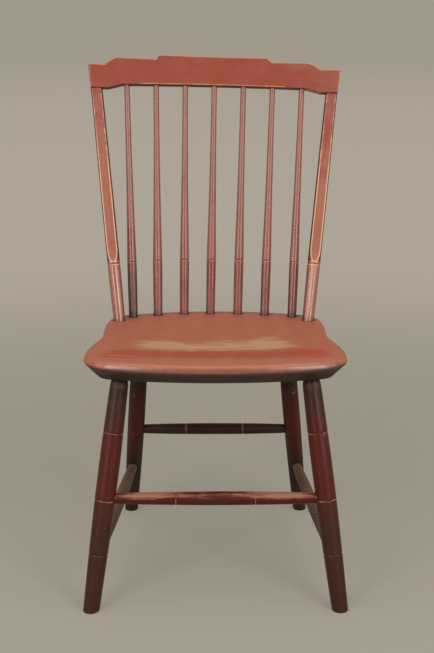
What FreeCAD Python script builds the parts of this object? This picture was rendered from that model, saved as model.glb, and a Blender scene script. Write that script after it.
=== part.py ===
"""Bamboo turned windsor side chair with a stepped crest rail. All sizes are in millimetres.

While it is being built the chair stands on Z = 0, with Y = 0 at the middle of the seat's front edge.
X points to the right as seen from the front, and Y points to the back.
At the end everything moves together, so that the origin is under the middle of the whole chair.
"""

import FreeCAD, Part
import math
import os
from FreeCAD import Vector

# Seat plank
SEAT_HEIGHT = 432.0  # top of the plank above the floor
SEAT_THICKNESS = 43.0
SEAT_DEPTH = 384.0  # front edge to back edge at the middle
SEAT_HALF_WIDTH = 224.0  # at the widest place, near the front
SEAT_WIDEST_Y = 92.5
SEAT_WAIST_HALF_WIDTH = 203.3  # where the sides draw in
SEAT_WAIST_Y = 222.0
SEAT_CORNER_HALF_WIDTH = 174.0  # where the back corner's curve meets the back edge
SEAT_CORNER_DROP = 31.0  # how far the back edge has come forward there
SEAT_FRONT_HALF_WIDTH = 174.5  # where the front corner's curve meets the front edge
SEAT_FRONT_BOW = 19.5  # how far the front edge falls back there
SEAT_EDGE_HEIGHT = 17.0  # the upright edge together with its roll
SEAT_EDGE_ROLL = 12.0  # radius of the rolled upper edge
SEAT_BEVEL_FRONT = 44.5  # how far the underside is cut back below the edge
SEAT_BEVEL_SIDE = 24.0
SEAT_BEVEL_BACK = 15.0
DISH_DEPTH = 7.0  # the seat's hollow
DISH_HALF_WIDTH = 184.0
DISH_HALF_LENGTH = 142.0
DISH_MIDDLE_Y = 182.0

# Legs: X and Y where their axes meet the underside of the plank and the floor
FRONT_LEG_TOP = (162.5, 82.0)
FRONT_LEG_FOOT = (213.0, -10.7)
REAR_LEG_TOPS = (-139.2, 133.2)  # X of the left and the right rear leg: bored by eye
REAR_LEG_FEET = (-170.7, 176.6)
REAR_LEG_TOP_FROM_BACK = 90.8  # from the back edge of the seat forward
REAR_LEG_FOOT_BEHIND = 39.0  # from the back edge of the seat backward
FRONT_FOOT_DIAMETER = 27.9
FRONT_LEG_DIAMETER = 35.8  # at the fullest place
FRONT_NECK_DIAMETER = 31.4  # under the rounded shoulder
REAR_FOOT_DIAMETER = 26.2
REAR_LEG_DIAMETER = 33.0
REAR_NECK_DIAMETER = 30.5
LEG_FULLEST_HEIGHT = 235.0
LEG_SHOULDER_LENGTH = 15.0  # the rounding from neck to tenon
LEG_TENON_DIAMETER = 24.0
LEG_TENON_TIP_DIAMETER = 21.0
LEG_TENON_DEPTH = 30.0
FOOT_EASE = 1.6  # the round worn on the rim of each foot
FRONT_RING_HEIGHTS = (94.5, 184.0, 296.0)  # where the leg's axis passes each ring
REAR_RING_HEIGHTS = (112.0, 198.0, 300.0)

# Stretchers: where their axes meet the axes of the legs, and their sizes
FRONT_STRETCHER_HEIGHT = 187.0
REAR_STRETCHER_HEIGHT = 198.0
SIDE_STRETCHER_FRONT_HEIGHT = 95.0
SIDE_STRETCHER_REAR_HEIGHT = 113.0
FRONT_STRETCHER_DIAMETER = 23.6
REAR_STRETCHER_DIAMETER = 21.8
SIDE_STRETCHER_DIAMETER = 22.5
STRETCHER_END_DIAMETER = 17.4  # where it enters a leg
STRETCHER_TIP_DIAMETER = 15.4
STRETCHER_PAST_AXIS = 4.0  # the tenon ends this far past the axis of the leg
STRETCHER_RING_SHARE = 0.36  # place of each ring, as a share of the way from the middle to the end
STRETCHER_FULLNESS = 0.65  # the lower this is, the sooner the stretcher swells

# Back posts
POST_BASES = (-179.0, 175.6)  # X where the axis of the left and the right post leaves the seat
POST_FROM_BACK = 79.6  # from there to the back edge of the seat
POST_FROM_CREST_END = 16.1  # from the post's axis, on the crest's line of reference, to the crest's end
POST_BASE_DIAMETER = 21.4
POST_RING_DIAMETER = 23.8
POST_TOP_DIAMETER = 22.0
POST_SEAT_TIP_DIAMETER = 18.0
POST_SEAT_DEPTH = 28.0
POST_CREST_TENON_DIAMETER = 11.0
POST_CREST_TIP_DIAMETER = 10.4
POST_CREST_DEPTH = 24.0
SHAVED_FACE_AT_RING = 7.4  # distance of the shaved face from the post's axis
SHAVED_FACE_AT_TOP = 6.8
SHAVED_SCOOP_LENGTH = 28.0  # the hollow that starts the shaved face
SHAVED_SCOOP_START = 4.0  # above the ring
SHAVED_SCOOP_ARC = (0.42, 0.8)  # one place on the hollow, as shares of its length and its depth

# Spindles
SPINDLE_BASE_SPACING = 50.7
SPINDLE_TOP_SHARE = 0.2482  # spacing at the crest, as a share of half the spread of the posts
SPINDLE_BASE_SHIFT = -5.7  # the holes in the seat were laid out a little off centre
SPINDLE_HOLE_DRIFTS = (3.7, -0.8, -1.7, -2.1, -0.5, 0.0, 0.5)  # how far each hole strayed to the right
SPINDLE_ROW_FROM_BACK = 25.3  # from the middle of the row to the back edge of the seat
SPINDLE_ROW_BOW = 27.5  # how far the outermost holes come forward
SPINDLE_BASE_DIAMETER = 16.8
SPINDLE_RING_DIAMETER = 17.8
SPINDLE_TOP_DIAMETER = 10.4
SPINDLE_SEAT_TIP_DIAMETER = 13.8
SPINDLE_SEAT_DEPTH = 24.0
SPINDLE_CREST_TIP_DIAMETER = 9.4
SPINDLE_CREST_DEPTH = 20.0
BACK_RING_HEIGHT = 101.0  # rings on posts and spindles, above the seat

# Crest rail: heights are measured up its face from a level line of reference
BACK_LEAN = 16.6  # degrees that the back leans away from upright
CREST_LINE_HEIGHT = 852.0
CREST_THICKNESS = 18.0
CREST_BEND_RADIUS = 2600.0
CREST_HALF_LENGTH = 238.5
POST_TOP_HALF_SPREAD = CREST_HALF_LENGTH - POST_FROM_CREST_END
SPINDLE_TOP_SPACING = POST_TOP_HALF_SPREAD * SPINDLE_TOP_SHARE
CREST_END_SLOPE = 5.5  # each end is sawn in towards the bottom by this much
CREST_END_TOPS = (39.2, 41.3)  # height of the left and the right end
CREST_SHOULDER_TOP = 53.7
CREST_TABLET_TOP = 61.7
CREST_TABLET_HALF_LENGTH = CREST_HALF_LENGTH * 0.4277
CREST_TABLET_STEPS = (4.0, 9.5)  # lengths of the left and right steps down from the tablet
CREST_PATTERN_SHIFT = -3.0  # the pattern for the upper edge was laid on this far off the middle
CREST_END_FLAT = 35.5  # the low flat at each end
CREST_SHOULDER_CURVE = 23.5  # length of the curve from the shoulder down to that flat
CREST_SHOULDER_ARC = (0.5, 0.35)  # one place on that curve, as shares of its length and its drop
CREST_ARCH_TOP = 6.4  # the lower edge at the middle
CREST_ARCH_SAG = 3.0
CREST_EAR_LENGTH = 65.0  # from the end of the arch to the crest's end
CREST_EAR_SLOPE_LENGTH = 27.0
CREST_ARCH_HALF_LENGTH = CREST_HALF_LENGTH - CREST_EAR_LENGTH
CREST_EAR_BOTTOM = -4.2
CREST_TOP_FALL = 0.03  # hand sawn: the top edge falls this much per length to the right
CREST_BOTTOM_FALL = 0.0235

# Pegs, driven in from the back of the crest through the tenons of the posts
PEG_DIAMETER = 5.6
PEG_LENGTH = 14.5
PEG_HEIGHT = 12.0  # above the shoulder of the post

# Rings cut round the turned pieces
LEG_RING_WIDTH = 2.6
LEG_RING_DEPTH = 0.8
SLIM_RING_WIDTH = 2.2  # on stretchers, posts and spindles
SLIM_RING_DEPTH = 0.7

# Fits
GLUE_GAP = 0.12  # between a tenon and its socket, all round and at the tip
SHOULDER_GAP = 0.3  # between the plank and the highest point of a leg's shoulder
MOUTH_MARGIN = 1.0  # a tenon starts to taper this far outside the mouth of its socket
SAWN_WASTE = 1.0  # what the saw takes off the lowest point of a leg

ORIGIN = Vector(0, 0, 0)
UP = Vector(0, 0, 1)
BACK = Vector(0, 1, 0)
SEAT_BOTTOM = SEAT_HEIGHT - SEAT_THICKNESS
LEAN = math.radians(BACK_LEAN)
CREST_UP = Vector(0, math.sin(LEAN), math.cos(LEAN))
CREST_FRONT = Vector(0, -math.cos(LEAN), math.sin(LEAN))


def mix(first, last, share):
    """The value that lies at this share of the way from first to last."""
    return first + (last - first) * share


def at(distance, radius):
    """A point of a turned profile."""
    return Vector(radius, 0, distance)


def lines_through(points):
    """Straight edges from each point to the next."""
    return [Part.makeLine(begin, end) for begin, end in zip(points, points[1:])]


def arc_through(begin, middle, end):
    """A round edge through three points."""
    return Part.Arc(begin, middle, end).toShape()


def smooth_through(points):
    """One smooth edge through all the points."""
    curve = Part.BSplineCurve()
    curve.interpolate(points)
    return curve.toShape()


def face_inside(edges):
    """The flat face that the edges close in."""
    return Part.Face(Part.Wire(Part.__sortEdges__(edges)))


def frame_along(start, end, back=BACK):
    """A placement at start, whose Z points to end and whose Y points as nearly back as it can."""
    return FreeCAD.Placement(start, FreeCAD.Rotation(ORIGIN, back, end - start, "ZYX"))


def placed(shape, placement):
    """The shape, moved and turned as the placement says."""
    return shape.transformed(placement.toMatrix())


def turned_body(begin, end, radius_at, rings, ring_width, ring_depth):
    """The edges of a turned profile between two distances, with a round groove at each ring."""
    edges = []
    stops = [begin]
    for ring in rings:
        low = ring - ring_width / 2
        high = ring + ring_width / 2
        bottom = at(ring, radius_at(ring) - ring_depth)
        edges.append(arc_through(at(low, radius_at(low)), bottom, at(high, radius_at(high))))
        stops += [low, high]
    stops.append(end)
    for low, high in zip(stops[::2], stops[1::2]):
        steps = [mix(low, high, i / 5) for i in range(6)]
        edges.append(smooth_through([at(step, radius_at(step)) for step in steps]))
    return edges


def turn(edges, placement):
    """The solid that the profile's edges sweep round the Z axis, put in its place."""
    ends = sorted(vertex.Z for edge in edges for vertex in edge.Vertexes if abs(vertex.X) < 1e-6)
    axis = Part.makeLine(at(ends[0], 0), at(ends[-1], 0))
    solid = face_inside(edges + [axis]).revolve(ORIGIN, UP, 360)
    return placed(solid, placement)


def socket(mouth, tip, placement):
    """The hollow for a tapered tenon whose mouth and tip are (distance, radius), with the glue gap."""
    way = 1 if tip[0] > mouth[0] else -1
    depth = abs(tip[0] - mouth[0]) + GLUE_GAP
    cone = Part.makeCone(mouth[1] + GLUE_GAP, tip[1] + GLUE_GAP, depth, at(mouth[0], 0), UP * way)
    return placed(cone, placement)


def seat_outline(height, front_inset, side_inset, back_inset):
    """The plank's outline at one height, drawn in from the full outline by the three insets."""
    bow_radius = (SEAT_FRONT_HALF_WIDTH**2 + SEAT_FRONT_BOW**2) / (2 * SEAT_FRONT_BOW)
    bow_x = SEAT_FRONT_HALF_WIDTH - side_inset / 2
    bow_angle = math.asin(bow_x / bow_radius)
    back_radius = (SEAT_CORNER_HALF_WIDTH**2 + SEAT_CORNER_DROP**2) / (2 * SEAT_CORNER_DROP)
    corner_x = SEAT_CORNER_HALF_WIDTH - side_inset
    corner_angle = math.asin(corner_x / back_radius)
    bow_y = front_inset + bow_radius * (1 - math.cos(bow_angle))
    corner_y = SEAT_DEPTH - back_inset - back_radius * (1 - math.cos(corner_angle))
    edges = []
    for side in (-1, 1):
        curve = Part.BSplineCurve()
        curve.interpolate(
            Points=[
                Vector(side * bow_x, bow_y, height),
                Vector(side * (SEAT_HALF_WIDTH - side_inset), SEAT_WIDEST_Y, height),
                Vector(side * (SEAT_WAIST_HALF_WIDTH - side_inset), SEAT_WAIST_Y, height),
                Vector(side * corner_x, corner_y, height),
            ],
            Tangents=[
                Vector(side * math.cos(bow_angle), math.sin(bow_angle), 0),
                BACK,
                BACK,
                Vector(-side * math.cos(corner_angle), math.sin(corner_angle), 0),
            ],
            TangentFlags=[True, True, True, True],
        )
        edges.append(curve.toShape())
    (left_front, left_back), (right_front, right_back) = [
        [vertex.Point for vertex in edge.Vertexes] for edge in edges
    ]
    edges.append(arc_through(left_front, Vector(0, front_inset, height), right_front))
    edges.append(arc_through(left_back, Vector(0, SEAT_DEPTH - back_inset, height), right_back))
    return Part.Wire(Part.__sortEdges__(edges))


def dish_air():
    """The block of air above the seat, whose lower face is the seat's hollow."""
    count = 9
    reach = 1.35  # the face runs out past the hollow's rim and rises above the plank
    steps = [mix(-reach, reach, i / (count - 1)) for i in range(count)]
    grid = []
    for x in steps:
        row = []
        for y in steps:
            height = SEAT_HEIGHT + DISH_DEPTH * (x * x + y * y - 1)
            row.append(Vector(x * DISH_HALF_WIDTH, DISH_MIDDLE_Y + y * DISH_HALF_LENGTH, height))
        grid.append(row)
    surface = Part.BSplineSurface()
    surface.interpolate(grid)
    return surface.toShape().extrude(UP * SEAT_THICKNESS)


def seat_plank():
    """The shaped plank before its sockets are bored: bevelled below, rolled at the edge and dished."""
    edge_bottom = SEAT_HEIGHT - SEAT_EDGE_HEIGHT
    underside = seat_outline(SEAT_BOTTOM, SEAT_BEVEL_FRONT, SEAT_BEVEL_SIDE, SEAT_BEVEL_BACK)
    full = seat_outline(edge_bottom, 0, 0, 0)
    bevelled = Part.makeLoft([underside, full], True, True)
    edge = Part.Face(full).extrude(UP * SEAT_EDGE_HEIGHT)
    upper = [line for line in edge.Edges if line.BoundBox.ZMin > SEAT_HEIGHT - 0.01]
    edge = edge.makeFillet(SEAT_EDGE_ROLL, upper)
    return bevelled.fuse(edge).removeSplitter().cut(dish_air())


class Leg:
    """One turned leg. Distances along it start where its axis meets the floor."""

    def __init__(self, top, foot, diameters, ring_heights):
        self.foot = Vector(*foot, 0)
        self.top = Vector(*top, SEAT_BOTTOM)
        self.placement = frame_along(self.foot, self.top)
        self.length = (self.top - self.foot).Length
        self.steepness = self.length / SEAT_BOTTOM
        tilt = math.tan(math.acos(1 / self.steepness))
        self.mouth = (self.length - LEG_TENON_DIAMETER / 2 * tilt - SHOULDER_GAP, LEG_TENON_DIAMETER / 2)
        self.tip = (self.length + LEG_TENON_DEPTH, LEG_TENON_TIP_DIAMETER / 2)
        self.neck = self.mouth[0] - LEG_SHOULDER_LENGTH
        self.foot_radius, self.full_radius, self.neck_radius = [size / 2 for size in diameters]
        self.fullest = LEG_FULLEST_HEIGHT * self.steepness
        self.rings = [height * self.steepness for height in ring_heights]
        self.below = self.foot_radius * tilt + SAWN_WASTE  # length under the floor line

    def radius_at(self, distance):
        """The leg swells from the foot to its fullest place and draws in again to its neck."""
        if distance < self.fullest:
            share = math.sin(math.pi / 2 * distance / self.fullest)
            return mix(self.foot_radius, self.full_radius, share)
        share = (distance - self.fullest) / (self.neck - self.fullest)
        return mix(self.full_radius, self.neck_radius, 1 - math.cos(math.pi / 2 * share))

    def point_at(self, height):
        """The point of the leg's axis at this height above the floor."""
        return self.foot + (self.top - self.foot) * (height / SEAT_BOTTOM)

    def radius_at_height(self, height):
        """The leg's radius where its axis is this high."""
        return self.radius_at(height * self.steepness)

    def seat_socket(self):
        """The blind socket for this leg in the plank."""
        return socket(self.mouth, self.tip, self.placement)

    def solid(self):
        """The leg, sawn level with the floor."""
        bulge = math.sqrt(0.5)
        rounding = at(
            mix(self.neck, self.mouth[0], bulge), mix(self.mouth[1], self.neck_radius, bulge)
        )
        edges = lines_through([at(-self.below, 0), at(-self.below, self.radius_at(-self.below))])
        edges += turned_body(
            -self.below, self.neck, self.radius_at, self.rings, LEG_RING_WIDTH, LEG_RING_DEPTH
        )
        edges.append(arc_through(at(self.neck, self.neck_radius), rounding, at(*self.mouth)))
        edges += lines_through([at(*self.mouth), at(*self.tip), at(self.tip[0], 0)])
        body = turn(edges, self.placement)
        room = 4 * self.full_radius
        ground = Part.makeBox(room, room, room, self.foot - Vector(room / 2, room / 2, room))
        body = body.cut(ground)
        rim = [edge for edge in body.Edges if edge.BoundBox.ZMax < 0.01]
        return body.makeFillet(FOOT_EASE, rim)


class Stretcher:
    """A turned stretcher between two legs. Distances along it start at the first leg's axis."""

    def __init__(self, legs, heights, diameter):
        start, end = [leg.point_at(height) for leg, height in zip(legs, heights)]
        self.placement = frame_along(start, end, UP)
        self.length = (end - start).Length
        first, last = [self.out_of(leg, height, end - start) for leg, height in zip(legs, heights)]
        self.mouths = [(first, STRETCHER_END_DIAMETER / 2)]
        self.mouths.append((self.length - last, STRETCHER_END_DIAMETER / 2))
        self.tips = [(-STRETCHER_PAST_AXIS, STRETCHER_TIP_DIAMETER / 2)]
        self.tips.append((self.length + STRETCHER_PAST_AXIS, STRETCHER_TIP_DIAMETER / 2))
        self.full_radius = diameter / 2
        middle = self.length / 2
        self.rings = [middle * (1 - STRETCHER_RING_SHARE), middle * (1 + STRETCHER_RING_SHARE)]

    def out_of(self, leg, height, run):
        """How far from the leg's axis the stretcher is clear of the leg, which it meets at a slant."""
        cosine = math.cos(run.getAngle(leg.top - leg.foot))
        reach = leg.radius_at_height(height) + STRETCHER_END_DIAMETER / 2 * abs(cosine)
        return reach / math.sqrt(1 - cosine**2) + MOUTH_MARGIN

    def radius_at(self, distance):
        """The stretcher is fullest in the middle and tapers towards both legs."""
        share = (distance - self.mouths[0][0]) / (self.mouths[1][0] - self.mouths[0][0])
        fullness = math.sin(math.pi * share) ** STRETCHER_FULLNESS
        return mix(STRETCHER_END_DIAMETER / 2, self.full_radius, fullness)

    def sockets(self):
        """The blind sockets in the two legs."""
        return [socket(mouth, tip, self.placement) for mouth, tip in zip(self.mouths, self.tips)]

    def solid(self):
        """The stretcher with a tapered tenon at each end."""
        first, last = self.mouths
        edges = lines_through([at(self.tips[0][0], 0), at(*self.tips[0]), at(*first)])
        edges += turned_body(
            first[0], last[0], self.radius_at, self.rings, SLIM_RING_WIDTH, SLIM_RING_DEPTH
        )
        edges += lines_through([at(*last), at(*self.tips[1]), at(self.tips[1][0], 0)])
        return turn(edges, self.placement)


class CrestShape:
    """The crest's curved plane. U runs to the right and V runs up the crest's face."""

    def __init__(self):
        lean_run = (CREST_LINE_HEIGHT - SEAT_HEIGHT) * math.tan(LEAN)
        post_top = Vector(0, SEAT_DEPTH - POST_FROM_BACK + lean_run, CREST_LINE_HEIGHT)
        self.middle = post_top - CREST_FRONT * self.bend(POST_TOP_HALF_SPREAD)

    def bend(self, u):
        """How far the crest has come forward of its middle at this place."""
        return CREST_BEND_RADIUS - math.sqrt(CREST_BEND_RADIUS**2 - u**2)

    def point(self, u, v, forward=0.0):
        """A point in the middle of the crest's thickness, or as far forward of that as asked."""
        return self.middle + Vector(u, 0, 0) + CREST_UP * v + CREST_FRONT * (self.bend(u) + forward)

    def flat(self, u, v):
        """A point of the outline, drawn on the flat plane behind the crest."""
        return self.middle + Vector(u, 0, 0) + CREST_UP * v - CREST_FRONT * CREST_THICKNESS

    def top(self, u, v):
        """A point of the upper outline, with the fall of the saw cut."""
        return self.flat(u, v - CREST_TOP_FALL * u)

    def underside(self, u):
        """The height of the ears' underside, with the fall of its saw cut."""
        return CREST_EAR_BOTTOM - CREST_BOTTOM_FALL * u

    def arch(self, u):
        """The height of the lower edge between the ears."""
        return CREST_ARCH_TOP - CREST_ARCH_SAG * (u / CREST_ARCH_HALF_LENGTH) ** 2 - CREST_BOTTOM_FALL * u

    def outline(self):
        """The sawn outline: a raised tablet, a shoulder each side, low ends and two ears below."""
        edges = []
        along, down = CREST_SHOULDER_ARC
        shift = CREST_PATTERN_SHIFT
        for side, step, end_top in zip((-1, 1), CREST_TABLET_STEPS, CREST_END_TOPS):
            tablet = shift + side * CREST_TABLET_HALF_LENGTH
            curve = side * CREST_SHOULDER_CURVE
            shoulder = shift + side * (CREST_HALF_LENGTH - CREST_END_FLAT) - curve
            drop = CREST_SHOULDER_TOP - end_top
            inner_ear = side * CREST_ARCH_HALF_LENGTH
            outer_ear = inner_ear + side * CREST_EAR_SLOPE_LENGTH
            end_bottom = side * (CREST_HALF_LENGTH - CREST_END_SLOPE)
            edges += lines_through([
                self.top(tablet, CREST_TABLET_TOP),
                self.top(tablet + side * step, CREST_SHOULDER_TOP),
                self.top(shoulder, CREST_SHOULDER_TOP),
            ])
            edges.append(arc_through(
                self.top(shoulder, CREST_SHOULDER_TOP),
                self.top(shoulder + curve * along, CREST_SHOULDER_TOP - drop * down),
                self.top(shoulder + curve, end_top),
            ))
            edges += lines_through([
                self.top(shoulder + curve, end_top),
                self.top(side * CREST_HALF_LENGTH, end_top),
                self.flat(end_bottom, self.underside(end_bottom)),
                self.flat(outer_ear, self.underside(outer_ear)),
                self.flat(inner_ear, self.arch(inner_ear)),
            ])
        tablet = [shift - CREST_TABLET_HALF_LENGTH, shift + CREST_TABLET_HALF_LENGTH]
        edges += lines_through([self.top(u, CREST_TABLET_TOP) for u in tablet])
        ear = CREST_ARCH_HALF_LENGTH
        edges.append(arc_through(
            self.flat(-ear, self.arch(-ear)), self.flat(0, self.arch(0)), self.flat(ear, self.arch(ear))
        ))
        return face_inside(edges)

    def bent_board(self):
        """A board with the crest's bend and thickness, larger than the crest all round."""
        low = -CREST_TABLET_TOP
        reach = CREST_HALF_LENGTH * 1.2
        half = CREST_THICKNESS / 2
        front = [self.point(u, low, half) for u in (-reach, 0, reach)]
        rear = [self.point(u, low, -half) for u in (-reach, 0, reach)]
        edges = [arc_through(*front), arc_through(*rear)]
        edges += lines_through([front[0], rear[0]]) + lines_through([front[2], rear[2]])
        return face_inside(edges).extrude(CREST_UP * 3 * CREST_TABLET_TOP)

    def solid(self):
        """The crest before its sockets are bored."""
        depth = 3 * CREST_THICKNESS + self.bend(CREST_HALF_LENGTH)
        return self.outline().extrude(CREST_FRONT * depth).common(self.bent_board())

    def space_above_ears(self):
        """The space over the ears' underside, in which a post is cut down to its tenon."""
        reach = 2 * CREST_HALF_LENGTH
        height = 3 * CREST_TABLET_TOP
        corners = [self.flat(-reach, self.underside(-reach)), self.flat(reach, self.underside(reach))]
        corners += [self.flat(reach, height), self.flat(-reach, height)]
        deep = 6 * CREST_THICKNESS + self.bend(CREST_HALF_LENGTH)
        face = face_inside(lines_through(corners + corners[:1]))
        face.translate(CREST_FRONT * -CREST_THICKNESS)
        return face.extrude(CREST_FRONT * deep)


class Upright:
    """A post or a spindle. Distances along it start where its axis leaves the seat."""

    def __init__(self, start, end, base_diameter, ring_diameter, top_diameter, seat_tip):
        self.start = start
        self.end = end
        self.placement = frame_along(start, end, CREST_FRONT * -1)
        self.length = (end - start).Length
        self.steepness = self.length / (end - start).z
        self.base, self.ring_radius, self.top = [
            size / 2 for size in (base_diameter, ring_diameter, top_diameter)
        ]
        self.ring = BACK_RING_HEIGHT * self.steepness
        self.rise = self.base * math.tan(math.acos(1 / self.steepness)) + MOUTH_MARGIN
        self.seat_tip = seat_tip

    def swell(self, distance):
        """Below the ring the rod swells gently from its base."""
        return mix(self.base, self.ring_radius, math.sin(math.pi / 2 * distance / self.ring))

    def seat_mouth(self):
        """Where the tenon in the seat starts to taper."""
        return (self.rise, self.swell(self.rise))

    def seat_socket(self):
        """The blind socket in the seat."""
        return socket(self.seat_mouth(), self.seat_tip, self.placement)

    def foot_edges(self):
        """The profile of the tenon in the seat."""
        return lines_through([at(self.seat_tip[0], 0), at(*self.seat_tip), at(*self.seat_mouth())])


class Spindle(Upright):
    """A slim turned spindle, which tapers above its ring and runs straight into the crest."""

    def __init__(self, start, end):
        tip = (-SPINDLE_SEAT_DEPTH, SPINDLE_SEAT_TIP_DIAMETER / 2)
        diameters = (SPINDLE_BASE_DIAMETER, SPINDLE_RING_DIAMETER, SPINDLE_TOP_DIAMETER)
        super().__init__(start, end, *diameters, tip)
        self.crest_mouth = (self.length - MOUTH_MARGIN, self.top)
        self.crest_tip = (self.length + SPINDLE_CREST_DEPTH, SPINDLE_CREST_TIP_DIAMETER / 2)

    def radius_at(self, distance):
        """The spindle's radius: it thins fast above the ring and then more slowly."""
        if distance < self.ring:
            return self.swell(distance)
        share = (distance - self.ring) / (self.crest_mouth[0] - self.ring)
        return mix(self.top, self.ring_radius, (1 - share) ** 2)

    def crest_socket(self):
        """The blind socket in the crest's lower edge."""
        return socket(self.crest_mouth, self.crest_tip, self.placement)

    def solid(self):
        """The spindle with both its tenons."""
        edges = self.foot_edges()
        edges += turned_body(
            self.rise, self.crest_mouth[0], self.radius_at, [self.ring], SLIM_RING_WIDTH, SLIM_RING_DEPTH
        )
        edges += lines_through([at(*self.crest_mouth), at(*self.crest_tip), at(self.crest_tip[0], 0)])
        return turn(edges, self.placement)


class Post(Upright):
    """A back post: round below its ring, and shaved flat in front from there up to the crest."""

    def __init__(self, side, base, crest):
        start = Vector(base, SEAT_DEPTH - POST_FROM_BACK, SEAT_HEIGHT)
        line = crest.point(side * POST_TOP_HALF_SPREAD, 0)
        foot_tip = (-POST_SEAT_DEPTH, POST_SEAT_TIP_DIAMETER / 2)
        diameters = (POST_BASE_DIAMETER, POST_RING_DIAMETER, POST_TOP_DIAMETER)
        below_line = crest.underside(side * POST_TOP_HALF_SPREAD) / (CREST_LINE_HEIGHT - SEAT_HEIGHT)
        end = line + (line - start) * (below_line * math.cos(LEAN))
        super().__init__(start, end, *diameters, foot_tip)
        self.crest = crest
        self.tenon_foot = (self.length - self.top, POST_CREST_TENON_DIAMETER / 2)
        self.tenon_tip = (self.length + POST_CREST_DEPTH, POST_CREST_TIP_DIAMETER / 2)

    def radius_at(self, distance):
        """The post's radius: it holds its size above the ring and thins towards the crest."""
        if distance < self.ring:
            return self.swell(distance)
        share = (distance - self.ring) / (self.length - self.ring)
        return mix(self.ring_radius, self.top, share**2)

    def crest_socket(self):
        """The blind socket in the crest."""
        return socket(self.tenon_foot, self.tenon_tip, self.placement)

    def shavings(self):
        """What the shave takes off the front of the post, above the ring."""
        begin = self.ring + SHAVED_SCOOP_START
        settle = begin + SHAVED_SCOOP_LENGTH
        over = self.tenon_tip[0]
        skin = self.radius_at(begin)
        outside = 3 * skin
        along, down = SHAVED_SCOOP_ARC
        middle = (mix(skin, SHAVED_FACE_AT_RING, down), mix(begin, settle, along))
        points = [Vector(0, -y, s) for y, s in (
            (skin, begin), middle, (SHAVED_FACE_AT_RING, settle), (SHAVED_FACE_AT_TOP, over),
            (outside, over), (outside, begin),
        )]
        edges = [arc_through(*points[:3])] + lines_through(points[2:] + points[:1])
        block = face_inside(edges).extrude(Vector(4 * skin, 0, 0))
        block.translate(Vector(-2 * skin, 0, 0))
        return placed(block, self.placement)

    def peg_bar(self, gap=0.0):
        """The peg as a long round bar, or its bore when there is a gap round it and before its tip."""
        on_axis = self.end + (self.end - self.start) * (PEG_HEIGHT / self.length)
        blind = on_axis + CREST_FRONT * (PEG_LENGTH - CREST_THICKNESS / 2 + gap)
        return Part.makeCylinder(PEG_DIAMETER / 2 + gap, 2 * PEG_LENGTH, blind, CREST_FRONT * -1)

    def solid(self):
        """The post with both its tenons, shaved and drilled for its peg."""
        edges = self.foot_edges()
        edges += turned_body(
            self.rise, self.tenon_tip[0], self.radius_at, [self.ring], SLIM_RING_WIDTH, SLIM_RING_DEPTH
        )
        edges += lines_through([
            at(self.tenon_tip[0], self.radius_at(self.tenon_tip[0])), at(self.tenon_tip[0], 0)
        ])
        body = turn(edges, self.placement).cut(self.shavings()).cut(self.crest.space_above_ears())
        foot, tip = self.tenon_foot, self.tenon_tip
        tenon = Part.makeCone(foot[1], tip[1], tip[0] - foot[0], at(foot[0], 0), UP)
        body = body.fuse(placed(tenon, self.placement))
        return body.cut(self.peg_bar(GLUE_GAP))


def make_legs():
    """The four legs by name."""
    front = (FRONT_FOOT_DIAMETER, FRONT_LEG_DIAMETER, FRONT_NECK_DIAMETER)
    rear = (REAR_FOOT_DIAMETER, REAR_LEG_DIAMETER, REAR_NECK_DIAMETER)
    legs = {}
    plans = zip(("left", "right"), (-1, 1), REAR_LEG_TOPS, REAR_LEG_FEET)
    for name, side, rear_top, rear_foot in plans:
        top_x, top_y = FRONT_LEG_TOP
        foot_x, foot_y = FRONT_LEG_FOOT
        legs["front_" + name] = Leg((side * top_x, top_y), (side * foot_x, foot_y), front, FRONT_RING_HEIGHTS)
        top = (rear_top, SEAT_DEPTH - REAR_LEG_TOP_FROM_BACK)
        foot = (rear_foot, SEAT_DEPTH + REAR_LEG_FOOT_BEHIND)
        legs["rear_" + name] = Leg(top, foot, rear, REAR_RING_HEIGHTS)
    return legs


def make_stretchers(legs):
    """The four stretchers by name, each with the names of the two legs that it joins."""
    side_heights = (SIDE_STRETCHER_FRONT_HEIGHT, SIDE_STRETCHER_REAR_HEIGHT)
    plans = {
        "front": (("front_left", "front_right"), [FRONT_STRETCHER_HEIGHT] * 2, FRONT_STRETCHER_DIAMETER),
        "rear": (("rear_left", "rear_right"), [REAR_STRETCHER_HEIGHT] * 2, REAR_STRETCHER_DIAMETER),
        "left": (("front_left", "rear_left"), side_heights, SIDE_STRETCHER_DIAMETER),
        "right": (("front_right", "rear_right"), side_heights, SIDE_STRETCHER_DIAMETER),
    }
    return {
        name: (ends, Stretcher([legs[end] for end in ends], heights, diameter))
        for name, (ends, heights, diameter) in plans.items()
    }


def make_spindles(crest):
    """The row of spindles, from left to right."""
    middle = (len(SPINDLE_HOLE_DRIFTS) - 1) / 2
    spindles = []
    for number, drift in enumerate(SPINDLE_HOLE_DRIFTS):
        place = number - middle
        bow = SPINDLE_ROW_BOW * (place / middle) ** 2
        x = SPINDLE_BASE_SHIFT + place * SPINDLE_BASE_SPACING + drift
        u = place * SPINDLE_TOP_SPACING
        start = Vector(x, SEAT_DEPTH - SPINDLE_ROW_FROM_BACK - bow, SEAT_HEIGHT)
        spindles.append(Spindle(start, crest.point(u, crest.arch(u))))
    return spindles


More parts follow.
